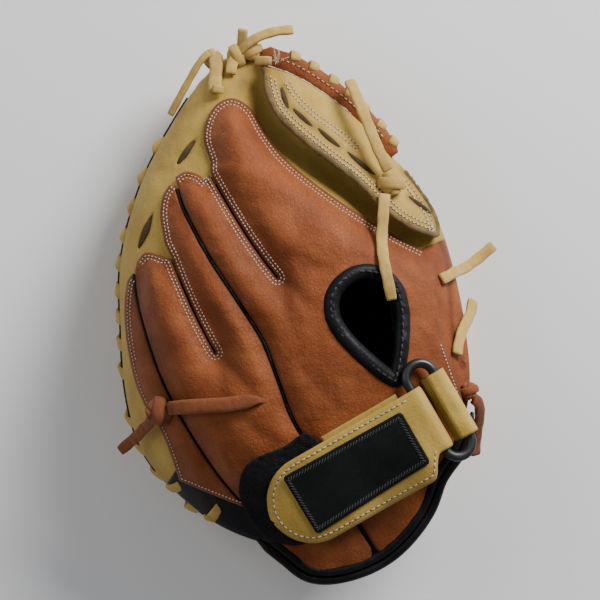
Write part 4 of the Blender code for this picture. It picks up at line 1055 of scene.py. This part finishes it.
WEB_LACES = [((54, 116), (51, 103)), ((53.5, 101), (58, 86)), ((60.5, 83), (66, 67)), ((68.5, 62), (76, 42)),
             ((87, 21), (94, 6))]
roll = even(smooth(WEB_ROLL, 10), 2.0)
far = np.linspace(0, 1, len(roll))[:, None]
flap_side = (roll + (beside(roll, -1.0) - roll) * (5.6 - 3.4 * far**2))[2:]
web_outline = np.vstack([smooth(WEB_FLAP, 6), flap_side[::-1]])
web_edge = smooth(WEB_FLAP, 8)


def web_face(x, y):
    near = distance(x, y, web_edge)
    pad = 1.5 * ease((near - 8.5) / 6)
    slots = np.zeros(np.broadcast(x, y).shape)
    for a, b in WEB_LACES:
        off = distance(x, y, [a, b])
        slots = slots + 1.3 * np.exp(-((off / 2.1) ** 2)) + 0.5 * np.exp(-((off / 7) ** 2))
    lip = 1.6 * np.exp(-((near / 3.5) ** 2))
    ruffle = 0.55 * waves(x, y, 30, 61) + 0.25 * waves(x, y, 11, 62)
    return web_low(x, y) + LEATHER + pad - slots - lip + ruffle


def web_sheet(x, y, away):
    near = distance(x, y, web_edge)
    groove = 0.5 * (np.exp(-(((near - 4.2) / 0.7) ** 2)) + np.exp(-(((near - 7.0) / 0.7) ** 2)))
    return web_face(x, y) - rolled(away, 1.2) - groove


verts, faces, away = draped(web_outline, web_sheet, 1.9)
near = distance(verts[:, 0], verts[:, 1], web_edge)
# Painted shade: the web darkens round its lace slots and along its dipped edge.
slot_shade = np.zeros(len(verts))
for a, b in WEB_LACES:
    slot_shade = np.maximum(slot_shade, np.exp(-((distance(verts[:, 0], verts[:, 1], [a, b]) / 2.3) ** 2)))
web = make("web_leather", verts, faces, TAN,
           {"painted_shade": np.clip(0.9 * slot_shade + 0.4 * (near < 4.2) + 0.2 * np.exp(-((near / 9) ** 2)), 0, 1),
            "wear": 0.4 * ease((near - 8) / 6)})
on(thicken(web, LEATHER), "thumb", "web_back_panel")
edge_mid = even(web_edge, 1.5)
nap = round_profile(1.9, 10, 0.9)
edge_in = beside(edge_mid, 1.4)
if not inside(edge_in[20:21, 0], edge_in[20:21, 1], web_outline)[0]:
    edge_in = beside(edge_mid, -1.4)
    web_side = -1
else:
    web_side = 1
ragged = 1 + 0.18 * waves(edge_in[:, 0], edge_in[:, 1], 5, 63) + 0.1 * rng.standard_normal(len(edge_in))
z = web_face(edge_in[:, 0], edge_in[:, 1]) - 0.9
nap_roll = sweep(np.column_stack([edge_in, z]), UP, nap, scale=ragged)
# The nap's colour carries painted shade.
on(make("web_edge_nap", *nap_roll, SHADED_EDGE_NAP), "thumb")
WEB_STITCH = {"height": web_face, "pitch": 2.5, "length": 1.75, "radius": 0.42}
sew("stitch_web", "thumb", beside(web_edge, web_side * 4.2)[2:-2], beside(web_edge, web_side * 6.6)[3:-3],
    **WEB_STITCH)
second = smooth([(60, 118), (60, 108), (64, 92), (71.5, 75), (77, 60)], 8)
sew("stitch_web_second", "thumb", second, beside(second, -2.5), **WEB_STITCH)
frayed = flap_side[1:32]
pale = 1 + 0.5 * rng.standard_normal(len(frayed))
frayed_line = np.column_stack([frayed, web_face(frayed[:, 0], frayed[:, 1]) - 0.2])
frayed_roll = sweep(frayed_line, UP, round_profile(0.42, 6), scale=np.clip(pale, 0.4, 1.9))
on(make("web_frayed_edge", *frayed_roll, WHITE_THREAD), "thumb")

parts = []
for a, b in WEB_LACES:
    a, b = np.array(a, float), np.array(b, float)
    t = np.linspace(0, 1, 13)
    line = a + (b - a) * t[:, None]
    z = web_face(line[:, 0], line[:, 1]) + 1.2 * np.sin(t * math.pi) - 0.5
    wide = 0.45 + 0.55 * np.sin(np.clip(t, 0.02, 0.98) * math.pi) ** 0.6
    parts.append(sweep(np.column_stack([line, z]), UP, strap_profile(2.9, 1.8, 0.3), scale=wide))
# The laces in the web's slots are the tan lace painted dark: painted shade.
on(make("web_slot_laces", *merged(parts), SHADED_LACE), "thumb")

flap_line = beside(roll, -5.6)
roll_z = web_low(flap_line[:, 0], flap_line[:, 1]) - 2.4
spine = np.column_stack([roll, roll_z])
angle = np.arange(28) * 2 * math.pi / 28
half_wide, half_tall = 7.0, 5.0
sheath = np.column_stack([half_wide * np.sign(np.cos(angle)) * np.abs(np.cos(angle)) ** 0.9,
                          half_tall * np.sign(np.sin(angle)) * np.abs(np.sin(angle)) ** 0.8])
swell = 1 + 0.03 * np.sin(np.arange(len(roll)) * 0.9) + 0.025 * waves(roll[:, 0], roll[:, 1], 12, 64)
swell *= np.minimum(1, 0.6 + 0.2 * from_end(len(roll)))
swell *= 1 - 0.25 * far[:, 0] ** 2
_, _, side_way, _ = frames(spine, UP)
toward = np.sign(np.sum(side_way[20, :2] * (flap_line[20] - roll[20])))
wide_spine = spine + side_way * toward * 0.8
on(make("web_roll", *sweep(wide_spine, UP, sheath, scale=swell), RUST), "thumb", "web_top_roll")


def roll_top(x, y):
    off_x = np.asarray(x)[:, None] - wide_spine[:, 0]
    off_y = np.asarray(y)[:, None] - wide_spine[:, 1]
    near = np.sqrt(off_x**2 + off_y**2)
    k = near.argmin(axis=1)
    t = np.clip(near.min(axis=1) / half_wide, 0, 0.97)
    return wide_spine[k, 2] + half_tall * (1 - t**2.2) ** 0.45


sew("stitch_roll", "thumb", beside(roll, 0.6)[4:-6], height=roll_top, pitch=3.4, length=2.0, radius=0.3)

windings = []
outward = -toward * side_way
for k in np.linspace(9, len(roll) - 5, 7).round().astype(int):
    t = np.linspace(math.radians(-115), math.radians(62), 17)
    lean = np.linspace(-2.2, 2.2, 17)
    ahead = (roll[k + 1] - roll[k - 1]) / np.linalg.norm(roll[k + 1] - roll[k - 1])
    ahead = np.array([*ahead, 0])
    line = (wide_spine[k] + outward[k] * ((half_wide * swell[k] + 0.9) * np.cos(t))[:, None]
            + np.array([0, 0, 1]) * ((half_tall * swell[k] + 0.9) * np.sin(t))[:, None]
            + ahead * lean[:, None])
    line[-2:, 2] -= [0.5, 1.6]
    out = outward[k] * np.cos(t)[:, None] + np.array([0, 0, 1]) * np.sin(t)[:, None]
    windings.append(sweep(line, out, strap_profile(6.2, 2.0, 0.4)))
on(make("web_winding", *merged(windings), TAN_LACE), "thumb", "web_top_lace")

# The wrist strap.


def over_cover(rise, wobble=0.0, seed=71):
    return lambda x, y, d=None: cover(x, y) + rise + wobble * waves(x, y, 24, seed)


def plate(name, outline, height, thick, material, pitch=2.2, edge=0.8, wear=0.0):
    """A sheet with eased edges that lies on height(x, y)."""
    verts, faces, away = draped(outline, lambda x, y, d: height(x, y) + thick - rolled(d, edge), pitch,
                                rims=(0.4, 0.9, 1.6))
    # Painted shade darkens the sheet along its edges.
    obj = make(name, verts, faces, material, {"painted_shade": 0.5 * np.exp(-((away / 0.9) ** 2)),
                                              "wear": wear * np.exp(-((away / 1.5) ** 2))})
    return thicken(obj, thick)


base_outline = [(-30, -127), (BAR_X - 9, -127), (BAR_X - 9, -76), (-30, -76)]
on(plate("strap_underlay", base_outline, over_cover(0.5), 3.0, TAN), "mitt", "strap_base")
pad_outline = smooth([(-33, -126), (-33, -74), (-52, -70), (-74, -68), (-87, -78), (-91, -93), (-90, -107),
                      (-83, -119), (-68, -127)], 8, closed=True)


def pile_height(x, y):
    return cover(x, y) + 0.9 + 0.35 * waves(x, y, 4.5, 72, 2) + 0.5 * waves(x, y, 22, 73)


on(plate("loop_pile", pad_outline, pile_height, 2.4, PILE, pitch=1.8, edge=1.4), "mitt", "loop_pad")


def hook_height(x, y):
    return cover(x, y) + 3.9 + 0.12 * np.sin(x * 2.2) * np.sin(y * 2.2)


hook_outline = [(-71, -120), (-36, -122), (-36, -90), (-71, -92)]
on(plate("hook_strip", hook_outline, hook_height, 1.3, PILE, pitch=1.6), "strap", "hook_tape")

HALF = (STRAP_TOP - STRAP_BOTTOM) / 2


def flap_width(x):
    bite = max(0.0, STRAP_LEFT + HALF - x)
    narrow = (2 * HALF - STRAP_WAIST) * float(ease((x - 15) / 12))
    inset_ = HALF - math.sqrt(max(0.0, HALF**2 - bite**2))
    return inset_, max(3.0, 2 * math.sqrt(max(0.0, HALF**2 - bite**2)) - narrow)


BAR_RADIUS, BAR_CLEARANCE, FLAP_HALF = 2.6, 0.5, 1.5


def flap_mid(x, y):
    return flap_under(x, y) + FLAP_HALF


wrap = BAR_RADIUS + BAR_CLEARANCE + FLAP_HALF
columns = np.linspace(-1, 1, 31)
skin_rows = []
for turn in np.radians(np.arange(-125, 80, 8)):
    x, z = BAR_X + wrap * math.cos(turn), BAR_Z + wrap * math.sin(turn)
    ys = STRAP_TOP - STRAP_WAIST / 2 + columns * STRAP_WAIST / 2
    skin_rows.append(np.column_stack([np.full(ys.shape, x), ys, np.full(ys.shape, z)]))
near_nose = STRAP_LEFT + np.array([6.5, 4.5, 2.8, 1.5, 0.6, 0.1])
stations = np.concatenate([np.arange(BAR_X - 2, STRAP_LEFT + 8, -2.2), near_nose])
for x in stations:
    inset_, width = flap_width(float(x))
    inset_ = min(inset_, HALF - 1.5)
    ys = STRAP_TOP - inset_ - width / 2 + columns * width / 2
    skin_rows.append(np.column_stack([np.full(ys.shape, x), ys, flap_mid(x, ys)]))
skin = np.array(skin_rows)
skin[..., 2] += 0.35 * waves(skin[..., 0], skin[..., 1], 34, 74)
forward = np.gradient(skin, axis=0)
normal = np.dstack([-forward[..., 2], np.zeros(forward.shape[:2]), forward[..., 0]])
normal /= -np.maximum(np.linalg.norm(normal, axis=2), 1e-9)[..., None]
if normal[-10, 15, 2] < 0:
    normal = -normal
half_leather = FLAP_HALF * (1 - 0.5 * np.abs(columns) ** 14)[None, :, None]
top, under = skin + normal * half_leather, skin - normal * half_leather
count, wide = skin.shape[:2]
verts = np.vstack([top.reshape(-1, 3), under.reshape(-1, 3)])
n_top = count * wide
faces = [[a, d, c, b] for a, b, c, d in grid_faces(count, wide)]
faces += [[a + n_top, b + n_top, c + n_top, d + n_top] for a, b, c, d in grid_faces(count, wide)]
rim_loop = ([i * wide for i in range(count)] + [(count - 1) * wide + j for j in range(1, wide)]
            + [i * wide + wide - 1 for i in range(count - 2, -1, -1)] + [j for j in range(wide - 2, 0, -1)])
for a, b in zip(rim_loop, rim_loop[1:] + rim_loop[:1]):
    faces.append([a, b, b + n_top, a + n_top])
mesh_bm = bmesh.new()
# Painted shade darkens the strap along its two long edges.
strap_obj = make("strap_leather", verts, faces, TAN, {
    "painted_shade": np.tile(0.35 * np.abs(np.tile(columns, count)) ** 10, 2),
    "wear": np.tile(np.where(np.arange(n_top) < 26 * wide, 0.6, 0.15), 2)})
mesh_bm.from_mesh(strap_obj.data)
bmesh.ops.recalc_face_normals(mesh_bm, faces=mesh_bm.faces)
mesh_bm.to_mesh(strap_obj.data)
mesh_bm.free()
on(strap_obj, "strap", "strap_flap")


def flap_face(x, y):
    return flap_mid(x, y) + FLAP_HALF + 0.35 * waves(x, y, 34, 74)


SEAM_IN = 3.4
border = []
for x in np.arange(25, STRAP_LEFT + 5, -1.5):
    inset_, width = flap_width(float(x))
    border.append((x, STRAP_TOP - inset_ - SEAM_IN))
NOSE = HALF - SEAM_IN
nose = [(STRAP_LEFT + HALF - NOSE * math.cos(t), STRAP_TOP - HALF + NOSE * math.sin(t))
        for t in np.radians(np.arange(70, -71, -4))]
border = [p for p in border if p[0] > STRAP_LEFT + HALF] + nose
for x in np.arange(STRAP_LEFT + HALF, 26, 1.5):
    inset_, width = flap_width(float(x))
    border.append((x, STRAP_TOP - inset_ - width + SEAM_IN))
sew("stitch_strap", "strap", np.array(border), height=flap_face, pitch=3.6, length=2.7)

patch_outline = []
for corner, first in (((16.5, -88.5), 0), ((-59, -87.5), 90), ((-58.5, -123.0), 180), ((16.5, -119.0), 270)):
    patch_outline += [(corner[0] + 2.2 * math.cos(t), corner[1] + 2.2 * math.sin(t))
                      for t in np.radians(np.arange(first, first + 91, 22.5))]


def patch_floor(x, y):
    return flap_face(x, y) + 0.15


on(plate("patch", patch_outline, patch_floor, 1.6, PATCH, pitch=2.0, edge=0.7), "strap", "strap_patch")
hem = even(np.array([(17.0, -87.9), (-60.4, -86.9), (-60.0, -123.8), (17.0, -119.8)]), 1.0, closed=True)
zig = beside(hem, 1.4, closed=True)
if not inside([0], [-100], zig)[0]:
    zig = beside(hem, -1.4, closed=True)
sew("stitch_patch", "strap", zig, height=lambda x, y: patch_floor(x, y) + 1.65, material=BLACK_THREAD,
    pitch=1.9, length=2.4, radius=0.34, closed=True, tilt=2.2)

corner = BAR_SPAN / 2
slope = (PIVOT_Z - BAR_Z) / BAR_SPAN
RING_LENGTH, RING_RADIUS, RING_FLATNESS = 61.0, 2.9, 0.88
reach = RING_LENGTH / 2 - corner
ring_y = STRAP_TOP - STRAP_WAIST / 2 + 2
oval = [(BAR_X + corner + corner * math.cos(t),
         ring_y + (reach if t < math.pi else -reach) + corner * math.sin(t))
        for t in np.radians(np.arange(0, 360, 7.5) + 3.75)]
oval = even([(x, y, BAR_Z + slope * (x - BAR_X)) for x, y in oval], 1.6, closed=True)
ring_wire = sweep(oval, UP, round_profile(RING_RADIUS, 18, RING_FLATNESS), closed=True)
on(make("ring", *ring_wire, RING), "ring", "strap_ring")

KEEPER_THICKNESS = 2.9
pivot_x = BAR_X + BAR_SPAN
hug = [(pivot_x - 9, PIVOT_Z - wrap - 0.3), (pivot_x - 5, PIVOT_Z - wrap)]
hug += [(pivot_x + wrap * math.cos(t), PIVOT_Z + wrap * math.sin(t))
        for t in np.radians(np.arange(-90, 91, 9))]
hug += [(pivot_x - 3, PIVOT_Z + wrap), (pivot_x - 5.5, PIVOT_Z + wrap - 0.3)]
ys = np.linspace(-118.5, -76.5, 26)
keeper = np.array([[(x, y, z + 0.25 * math.sin(y * 0.35 + x * 0.2)) for y in ys] for x, z in hug])
keeper_verts = keeper.reshape(-1, 3)
# Painted shade darkens the keeper at its two ends.
keeper_obj = make("keeper", keeper_verts, grid_faces(len(hug), len(ys)), TAN,
                  {"wear": 0.5 * np.exp(-((keeper_verts[:, 0] - pivot_x - 4) / 3) ** 2),
                   "painted_shade": 0.5 * (np.abs(keeper_verts[:, 1] + 97.5) > 20)})
thicken(keeper_obj, KEEPER_THICKNESS, 0.0)
on(keeper_obj, "mitt", "ring_keeper")

# Laces.


def strand(points, up, width=LACE_WIDTH, thick=LACE_THICKNESS):
    """A short piece of lace, pressed a little narrower at its ends."""
    line = even(smooth(points, 8), 1.6)
    scale = np.ones(len(line))
    scale[0] = scale[-1] = 0.9
    return sweep(line, up, strap_profile(width, thick, 0.25), scale=scale)


def tied(name, body, centre, along, size, material, *nodes):
    """An overhand knot: two crossed turns of lace round the standing part."""
    c = np.array(centre, float)
    a = np.array([*along, 0.0])
    a /= np.linalg.norm(a)
    b = np.array([-a[1], a[0], 0.0])
    up = np.array([0, 0, 1.0])
    turn = np.linspace(0, 2 * math.pi, 33)[:, None]
    parts = []
    for lean, grow, lift in ((0.42, 1.0, 0.0), (-0.5, 0.86, 0.35)):
        tip = b * math.cos(lean) + a * math.sin(lean)
        loop = c + grow * size * (np.cos(turn) * tip * 0.95 + np.sin(turn) * up * 0.62) + a * lift
        out = np.cos(turn) * tip + np.sin(turn) * up
        parts.append(sweep(loop, out, strap_profile(size * 0.95, 2.1, 0.5)))
    core = np.array([c - a * size * 0.95, c - a * size * 0.4 + up * 0.5,
                     c + a * size * 0.4 + up * 0.5, c + a * size * 0.95])
    parts.append(sweep(even(smooth(core, 6), 1.2), up, round_profile(size * 0.5, 12)))
    return on(make(name, *merged(parts), material), body, *nodes)


WEB_KNOT_SIZE = 7.2
knot_z = float(web_low(*WEB_KNOT)) + LEATHER + WEB_KNOT_SIZE
tied("knot_web", "thumb", (*WEB_KNOT, knot_z), (0.15, 1), WEB_KNOT_SIZE, TAN_LACE, "web_knot")
tied("knot_roll", "thumb", (50.5, 144.1, float(roll_z[0])), (-0.4, 1), 5.2, TAN_LACE, "top_knot_web")
tied("knot_index", "mitt", (27.4, 152.8, 38), (1, 0.2), 5.8, TAN_LACE, "top_knot_index")
tied("knot_wrist", "mitt", (60, -97, float(dome(60, -97)) + 5.2), (0.2, -1), 5.0, RUST_LACE, "wrist_knot")
tied("knot_little", "mitt", (-105.6, -15, float(cover(-105.6, -15)) + 5.0), (1, -0.25), 7.6, RUST_LACE,
     "little_knot")

little_run = [(-47, -41.5), (-52, -38), (-60, -35), (-70, -31), (-80, -26), (-90, -21), (-99, -17)]
run = even(smooth(little_run, 6), 1.6)
run_z = cover(run[:, 0], run[:, 1]) + 1.9 + 1.2 * np.sin(np.linspace(0, math.pi, len(run)))
run_z[:4] -= [4.2, 2.6, 1.2, 0.3]
wide = (1 + 0.2 * np.sin(np.linspace(0.3, 2.6, len(run)))) * (0.3 + 0.7 * ease(np.arange(len(run)) / 8))
little_strap = sweep(np.column_stack([run, run_z]), UP, strap_profile(7.4, 2.4, 0.3), scale=wide)
on(make("lace_little", *little_strap, RUST_LACE), "mitt", "little_lace")

TAILS = {
    "web_tail_up": ("thumb", TAN_LACE, [(84, 41, 88), (84.5, 46, 90.5), (85, 53, 91), (86, 60, 89.5),
                                        (87, 67, 88), (88, 74, 86.5), (89, 81, 84.5), (90, 88, 81.5),
                                        (91, 95, 76), (91, 99, 72.5)], (0.2, -0.3, 1)),
    "web_tail_down": ("thumb", TAN_LACE, [(75, 29, 92.5), (72, 25, 95.5), (68, 19, 98.5), (64, 13, 99.5),
                                          (60, 7, 101.5), (56, -1, 108), (53, -9, 112.5), (50, -18, 113.5),
                                          (47, -27, 112)], UP),
    "thumb_tail_upper": ("thumb", TAN_LACE, [(79.5, -31.5, 75.4), (84, -32, 70.5), (88, -32, 65),
                                             (92, -32.5, 59), (97, -33, 54.5), (103, -32.5, 51),
                                             (110, -31.5, 48), (118, -30, 46)], (0.6, 0, 0.8)),
    "thumb_tail_lower": ("thumb", TAN_LACE, [(65, -75, 85.3), (68, -71, 83), (72, -67, 79.5), (77, -63, 74.5),
                                             (82, -60, 69), (86, -57, 64), (90, -52, 60)], (0.6, 0, 0.8)),
    "wrist_tail": ("mitt", RUST_LACE, [(60.5, -103, 87), (61.5, -107, 81), (59, -113.5, 72), (54, -120.5, 63),
                                       (49, -127.5, 56), (45, -134, 52)], (0.3, -0.55, 0.8)),
    "little_tail": ("mitt", RUST_LACE, [(-111, -17, 92.5), (-115, -19, 87), (-119.5, -20, 81),
                                        (-124, -21.5, 75), (-129, -22.5, 69), (-134, -23.5, 64),
                                        (-139, -24.5, 60)], (-0.6, 0, 0.8)),
}


def tail(name, body, material, points, up, *nodes, width=LACE_WIDTH):
    line = even(smooth(points, 8), 1.3)
    scale = 1 + 0.04 * np.sin(np.arange(len(line)) * 0.7)
    scale[-2:] *= [0.97, 0.88]
    obj = make("lace_" + name, *sweep(line, up, strap_profile(width, 2.2, 0.2), scale=scale), material)
    on(obj, body, *nodes)
    long_ = float(np.linalg.norm(np.diff(line, axis=0), axis=1).sum()) * MM


for name, (body, material, points, up) in TAILS.items():
    tail(name, body, material, points, up, name)

TOP_THIN = [(27, 157.5, 44), (20, 155.5, 44), (9, 149.5, 42), (-2, 143, 40), (-12, 137, 37)]
TOP_RIGHT = [(41, 147, 50), (47, 149, 54), (54, 150, 56), (61, 149.5, 56), (69, 147.5, 55), (78, 143.5, 54)]
tail("top_thin", "mitt", TAN_LACE, TOP_THIN, (0.3, 0.5, 0.8), width=4.2)
tail("top_right", "thumb", TAN_LACE, TOP_RIGHT, (0.2, 0.5, 0.8), width=6.2)
fold = [(29, 153, 45), (27, 148, 49), (23.5, 142.5, 53), (20.5, 138, 58), (19, 134.5, 61.5)]
ends = [strand(fold, (0, 0.6, 0.8), width=8.2, thick=2.6),
        strand([(18, 136.5, 63.5), (20.5, 134.5, 64), (23, 132.5, 63.5)], UP, width=5.0, thick=2.4),
        strand([(46, 150, 50), (49, 154.5, 52), (52, 159, 54)], (-0.4, 0, 0.9), width=6.2),
        strand([(41, 147, 52), (36, 144, 54), (32, 139, 57)], UP, width=6.6),
        strand([(49, 138, 63), (53, 135.5, 66), (57, 133, 67)], UP, width=5.4)]
on(make("lace_ends_top", *merged(ends), TAN_LACE), "mitt")
tied("knot_second", "mitt", (41, 147, 50), (0.8, 0.3), 6.2, TAN_LACE)
tuft = []
for k in range(16):
    base = np.array([59.5, 130.5, 71.0]) + rng.normal(0, 0.8, 3)
    way = np.array([rng.normal(0.4, 0.5), rng.normal(0.8, 0.4), rng.uniform(0.3, 0.9)])
    way /= np.linalg.norm(way)
    curl = rng.normal(0, 1.6, 3)
    t = np.linspace(0, 1, 6)[:, None]
    hair = base + way * t * rng.uniform(4, 8) + curl * t**2
    tuft.append(sweep(hair, (0.3, 0.1, 1), round_profile(0.16, 5)))
on(make("thread_tuft", *merged(tuft), WHITE_THREAD), "thumb")

# The lace, loops and welt of the rim.

turns = np.radians(np.arange(78, 209, 0.8))
lace_line = np.array([(*at(a, float(rim_radius(a)) - 3.2 + 0.8 * math.cos(a * 50)),
                       float(palm_path(a)[3, 1]) + 2.4 + 1.7 * math.sin(a * 50)) for a in turns])
rim_lacing = sweep(lace_line, UP, strap_profile(5.6, 2.2, 0.3))
on(make("rim_lacing", *rim_lacing, TAN_LACE), "mitt", "rim_lace")
loops = []
for degrees_ in [*np.arange(96, 181, 9.5), 187, 195, 203.5, 216]:
    a = math.radians(degrees_)
    radius, edge_z = float(rim_radius(a)), float(palm_path(a)[3, 1])
    broad = degrees_ > 210
    circle = np.linspace(-2.0, 2.3 if broad else 2.0, 17)
    lean = np.linspace(-0.045, 0.045, 17) * (0.4 if broad else 1)
    out_by, tall = (8.0, 9.5) if broad else (3.9, 6.2)
    inset_by, raised_by = (4.4, 10.5) if broad else (2.4, 4.5)
    line = np.array([(*at(a + dl, radius - inset_by + out_by * math.cos(t)),
                      edge_z + raised_by + tall * math.sin(t)) for t, dl in zip(circle, lean)])
    out = np.array([(math.cos(a) * math.cos(t), math.sin(a) * math.cos(t), math.sin(t)) for t in circle])
    loops.append(sweep(line, out, strap_profile(8.4 if broad else 6.8, 2.0, 0.3)))
# Two more loops climb the heel band's wall.
for degrees_ in (209.5, 222.0):
    a = math.radians(degrees_)
    path = even(band_cut(a)[::-1], 1.0)
    wall = int(np.argmax(path[:, 0] < path[:, 0].max() - 2.0))
    inward = path[max(0, wall - 8):wall + 9]
    slope = np.gradient(inward, axis=0)
    slope /= np.maximum(np.linalg.norm(slope, axis=1), 1e-9)[:, None]
    out_flat = np.column_stack([slope[:, 1], -slope[:, 0]])
    if out_flat[0, 0] < 0:
        out_flat = -out_flat
    lift = 1.5 * np.minimum(1, from_end(len(inward)) / 2.0) - 0.9
    run = inward + out_flat * lift[:, None]
    lean = np.linspace(-0.02, 0.02, len(run))
    line = np.array([(*at(a + dl, r), z) for dl, (r, z) in zip(lean, run)])
    out = np.array([(math.cos(a) * nr, math.sin(a) * nr, nz) for nr, nz in out_flat])
    loops.append(sweep(line, out, strap_profile(6.4, 2.0, 0.3)))
on(make("rim_loops", *merged(loops), TAN_LACE), "mitt")
welt_turns = np.radians(np.arange(84, 219, 1.0))
welt = np.array([(*at(a, float(rim_radius(a)) - 0.1),
                  float(palm_path(a)[3, 1]) + 4.6 + 0.8 * math.sin(a * 24)) for a in welt_turns])
on(make("rim_welt", *sweep(welt, UP, round_profile(1.3, 10)), BLACK), "mitt")

# The little finger's loop, inside.

finger = np.array([(-62, 64.2), (-61, 72), (-55, 77), (-46, 77), (-40, 72), (-39, 64.2)])
loop_line = even(smooth(finger, 8), 1.6)
loop_rows = []
for y in np.linspace(15, 35, 12):
    loop_rows.append([(x, y, z + 0.3 * math.sin(x * 0.5)) for x, z in loop_line])
loop_verts = np.array(loop_rows).reshape(-1, 3)
# Painted shade darkens the loop along its two edges.
finger_loop = make("finger_loop", loop_verts, grid_faces(12, len(loop_line)), TAN,
                   {"painted_shade": 0.3 * (np.abs(loop_verts[:, 1] - 25) > 8.5)})
on(thicken(finger_loop, 2.0, 0.0), "mitt", "little_finger_loop")


# Light, floor and camera.

scene = bpy.context.scene


def aimed(name, kind, place, target, **settings):
    data = bpy.data.lights.new(name, kind)
    for key, value in settings.items():
        setattr(data, key, value)
    obj = link(bpy.data.objects.new(name, data))
    obj.location = place
    obj.rotation_euler = (Vector(target) - Vector(place)).to_track_quat("-Z", "Y").to_euler()
    return obj


LOOK = (SHIFT[0], SHIFT[1], 0.07)
aimed("key", "AREA", (1.30, 0.50, 0.88), LOOK, energy=42.0, size=0.7)
aimed("fill", "AREA", (-0.7, 0.9, 1.3), LOOK, energy=6.0, size=1.0)
world = bpy.data.worlds.new("studio")
world.use_nodes = True
sky = world.node_tree.nodes["Background"]
sky.inputs["Color"].default_value = (0.93, 0.95, 1.0, 1)
sky.inputs["Strength"].default_value = 0.25
scene.world = world
floor_mesh = bpy.data.meshes.new("floor")
floor_mesh.from_pydata([(-3, -3, 0), (3, -3, 0), (3, 3, 0), (-3, 3, 0)], [], [(0, 1, 2, 3)])
n = Nodes("floor")
floor_mesh.materials.append(n.done(n.mix(n.noise(3.0), (0.86, 0.86, 0.87), (0.90, 0.90, 0.90)), 0.9))
floor = link(bpy.data.objects.new("floor", floor_mesh))

lens = bpy.data.cameras.new("camera")
lens.lens, lens.sensor_width = 250, 36
lens.clip_start, lens.clip_end = 0.05, 20
camera = link(bpy.data.objects.new("camera", lens))
camera.location = (SHIFT[0], SHIFT[1], 0.07 + 2.5)
camera.rotation_euler = (0, 0, math.radians(-30))
scene.camera = camera
